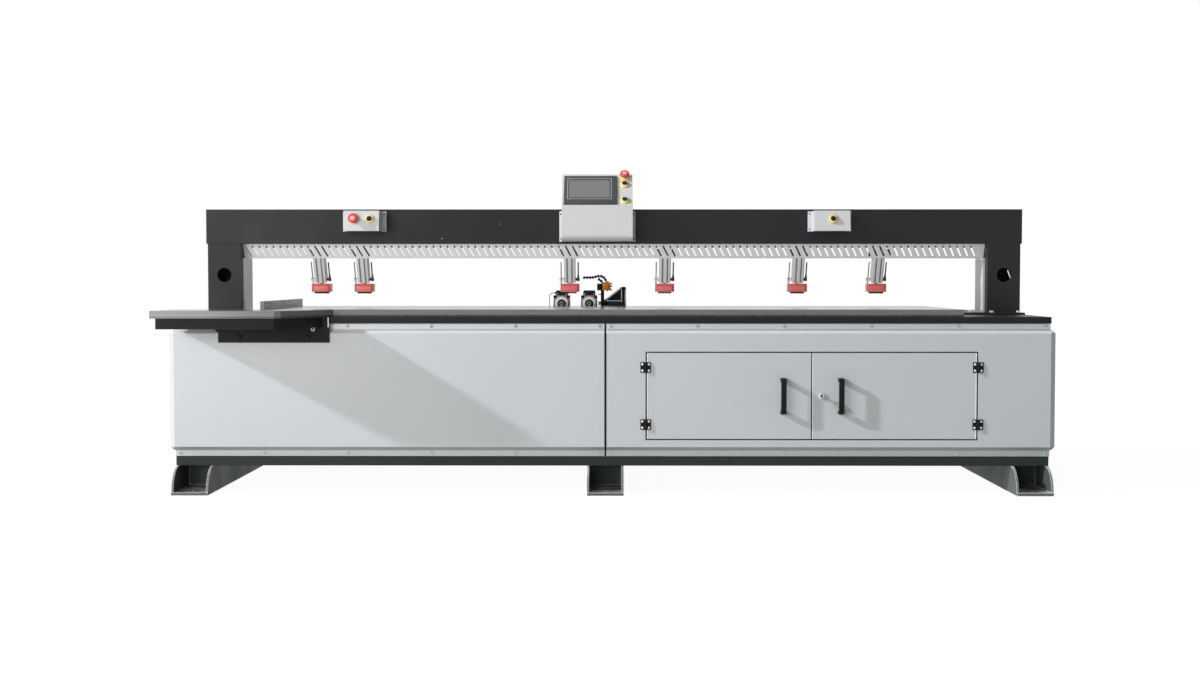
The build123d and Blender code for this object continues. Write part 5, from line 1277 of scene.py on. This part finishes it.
# %% [markdown]
# ### Air valve and hoses
# The orange valve has a finned knob of short round prongs. Its blow hoses are rows of beads on a thin core,
# and small push-in fittings sit in the side of its post. An array along a curve would bend the beads; here
# each bead is turned and set along its own heading.

# %% Air valve
low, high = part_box("air_valve")
middle = (low + high) / 2
knob_half = 0.016
prongs = ((70, 0.009), (30, 0.012), (0, 0.012), (-35, 0.012), (-75, 0.008), (150, 0.004))


def heading_way(heading):
    """A direction across the front, from an angle in degrees."""
    return Vector((cos(radians(heading)), 0.0, sin(radians(heading))))


bm = bmesh.new()
for heading, length in prongs:
    way = heading_way(heading)
    reach = knob_half / max(abs(way.x), abs(way.z))
    foot = middle + Vector((way.x * reach * 0.9, -0.004, way.z * reach * 0.9))
    add_round(bm, aimed(foot, way), 0.0042, length, 0, 16, 0.0032)
add_round(bm, aimed((middle.x, low.y + 0.001, middle.z), forward), 0.011, 0.006, 0, 24, 0.009)
piece("valve_prongs", bm, (valve_orange,), "knee")
print("valve prongs made")

# %% Hose beads and fittings
post_low, post_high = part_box("valve_bracket")
post_middle = (post_low + post_high) / 2
bead = (
    (0.0, -0.0045),
    (0.0046, -0.0045),
    (0.0066, -0.0015),
    (0.0066, 0.0015),
    (0.0046, 0.0045),
    (0.0, 0.0045),
)
core_radius, stem_length, bead_pitch, half_pitch = 0.0034, 0.0075, 0.0126, 0.0063
long_start = Vector((middle.x, middle.y, high.z - 0.001))
short_start = Vector((post_middle.x + (post_high.x - post_low.x) / 4, post_middle.y, post_high.z - 0.001))
bm = bmesh.new()
for start, headings in (
    (long_start, (130, 129, 174, 185, 200, 185, 180, 180, 183)),
    (short_start, (140, 141)),
):
    add_round(bm, aimed(start, (0, 0, 1)), core_radius, stem_length, 0, 16)
    at = start + Vector((0.0, 0.0, stem_length))
    for heading in headings:
        way = heading_way(heading)
        add_round(bm, aimed(at, way), core_radius, bead_pitch, 0, 16)
        add_turned(bm, bead, aimed(at + half_pitch * way, way), 0, 20)
        at = at + bead_pitch * way
piece("hose_beads", bm, (hose_navy,), "knee", ["air_hoses"])

bm = bmesh.new()
for rise, radius, coat in ((0.0785, 0.0042, 0), (0.0700, 0.0040, 1), (0.1140, 0.0022, 2)):
    spot = (post_low.x + 0.0175, post_middle.y, post_low.z + rise)
    add_round(bm, aimed(spot, (-1, 0, 0)), radius, 0.012, coat, 16)
piece("push_in_fittings", bm, (fitting_teal, fitting_pink, lead_red), "knee")
print("hose beads and fittings made")

# %% [markdown]
# ### Bracket edges
# The dark chain bracket shows bright edges: strips along its slope, its upright and its foot are painted
# highlights, where the edges catch the light. Edge wear in the paint would be too faint for them, so each
# strip is a thin flat box.

# %% Bracket edges
low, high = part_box("chain_arm")
arm_front = low.y - 0.0012
bm = bmesh.new()


def add_strip(start, end, wide):
    """A flat bright strip, a painted highlight, on the bracket's front, between two points across and up."""
    run = Vector((end[0] - start[0], 0.0, end[1] - start[1]))
    turn = run.to_track_quat("X", "Z").to_matrix().to_4x4()
    along = Matrix.Translation((start[0], arm_front, start[1])) @ turn
    add_box(bm, (0.0, -0.0008, -wide / 2), (run.length, 0.0016, wide / 2), 0.0004, 0, along)


add_strip((low.x + 0.003, high.z - 0.064), (high.x - 0.022, high.z - 0.004), 0.007)
add_strip((high.x - 0.020, high.z - 0.010), (high.x - 0.020, high.z - 0.070), 0.0035)
add_strip((low.x + 0.012, high.z - 0.062), (high.x - 0.024, high.z - 0.062), 0.0035)
add_strip((high.x - 0.003, high.z - 0.010), (high.x - 0.003, high.z - 0.082), 0.004)
piece("bracket_edge_highlights", bm, (barrel_silver,), "carriage")
print("bracket edges made")

# %% [markdown]
# ## Size
# The dressed machine must keep the size of the solids, so the box of all that is shown is measured once more.

# %% Size and finish
low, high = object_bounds()
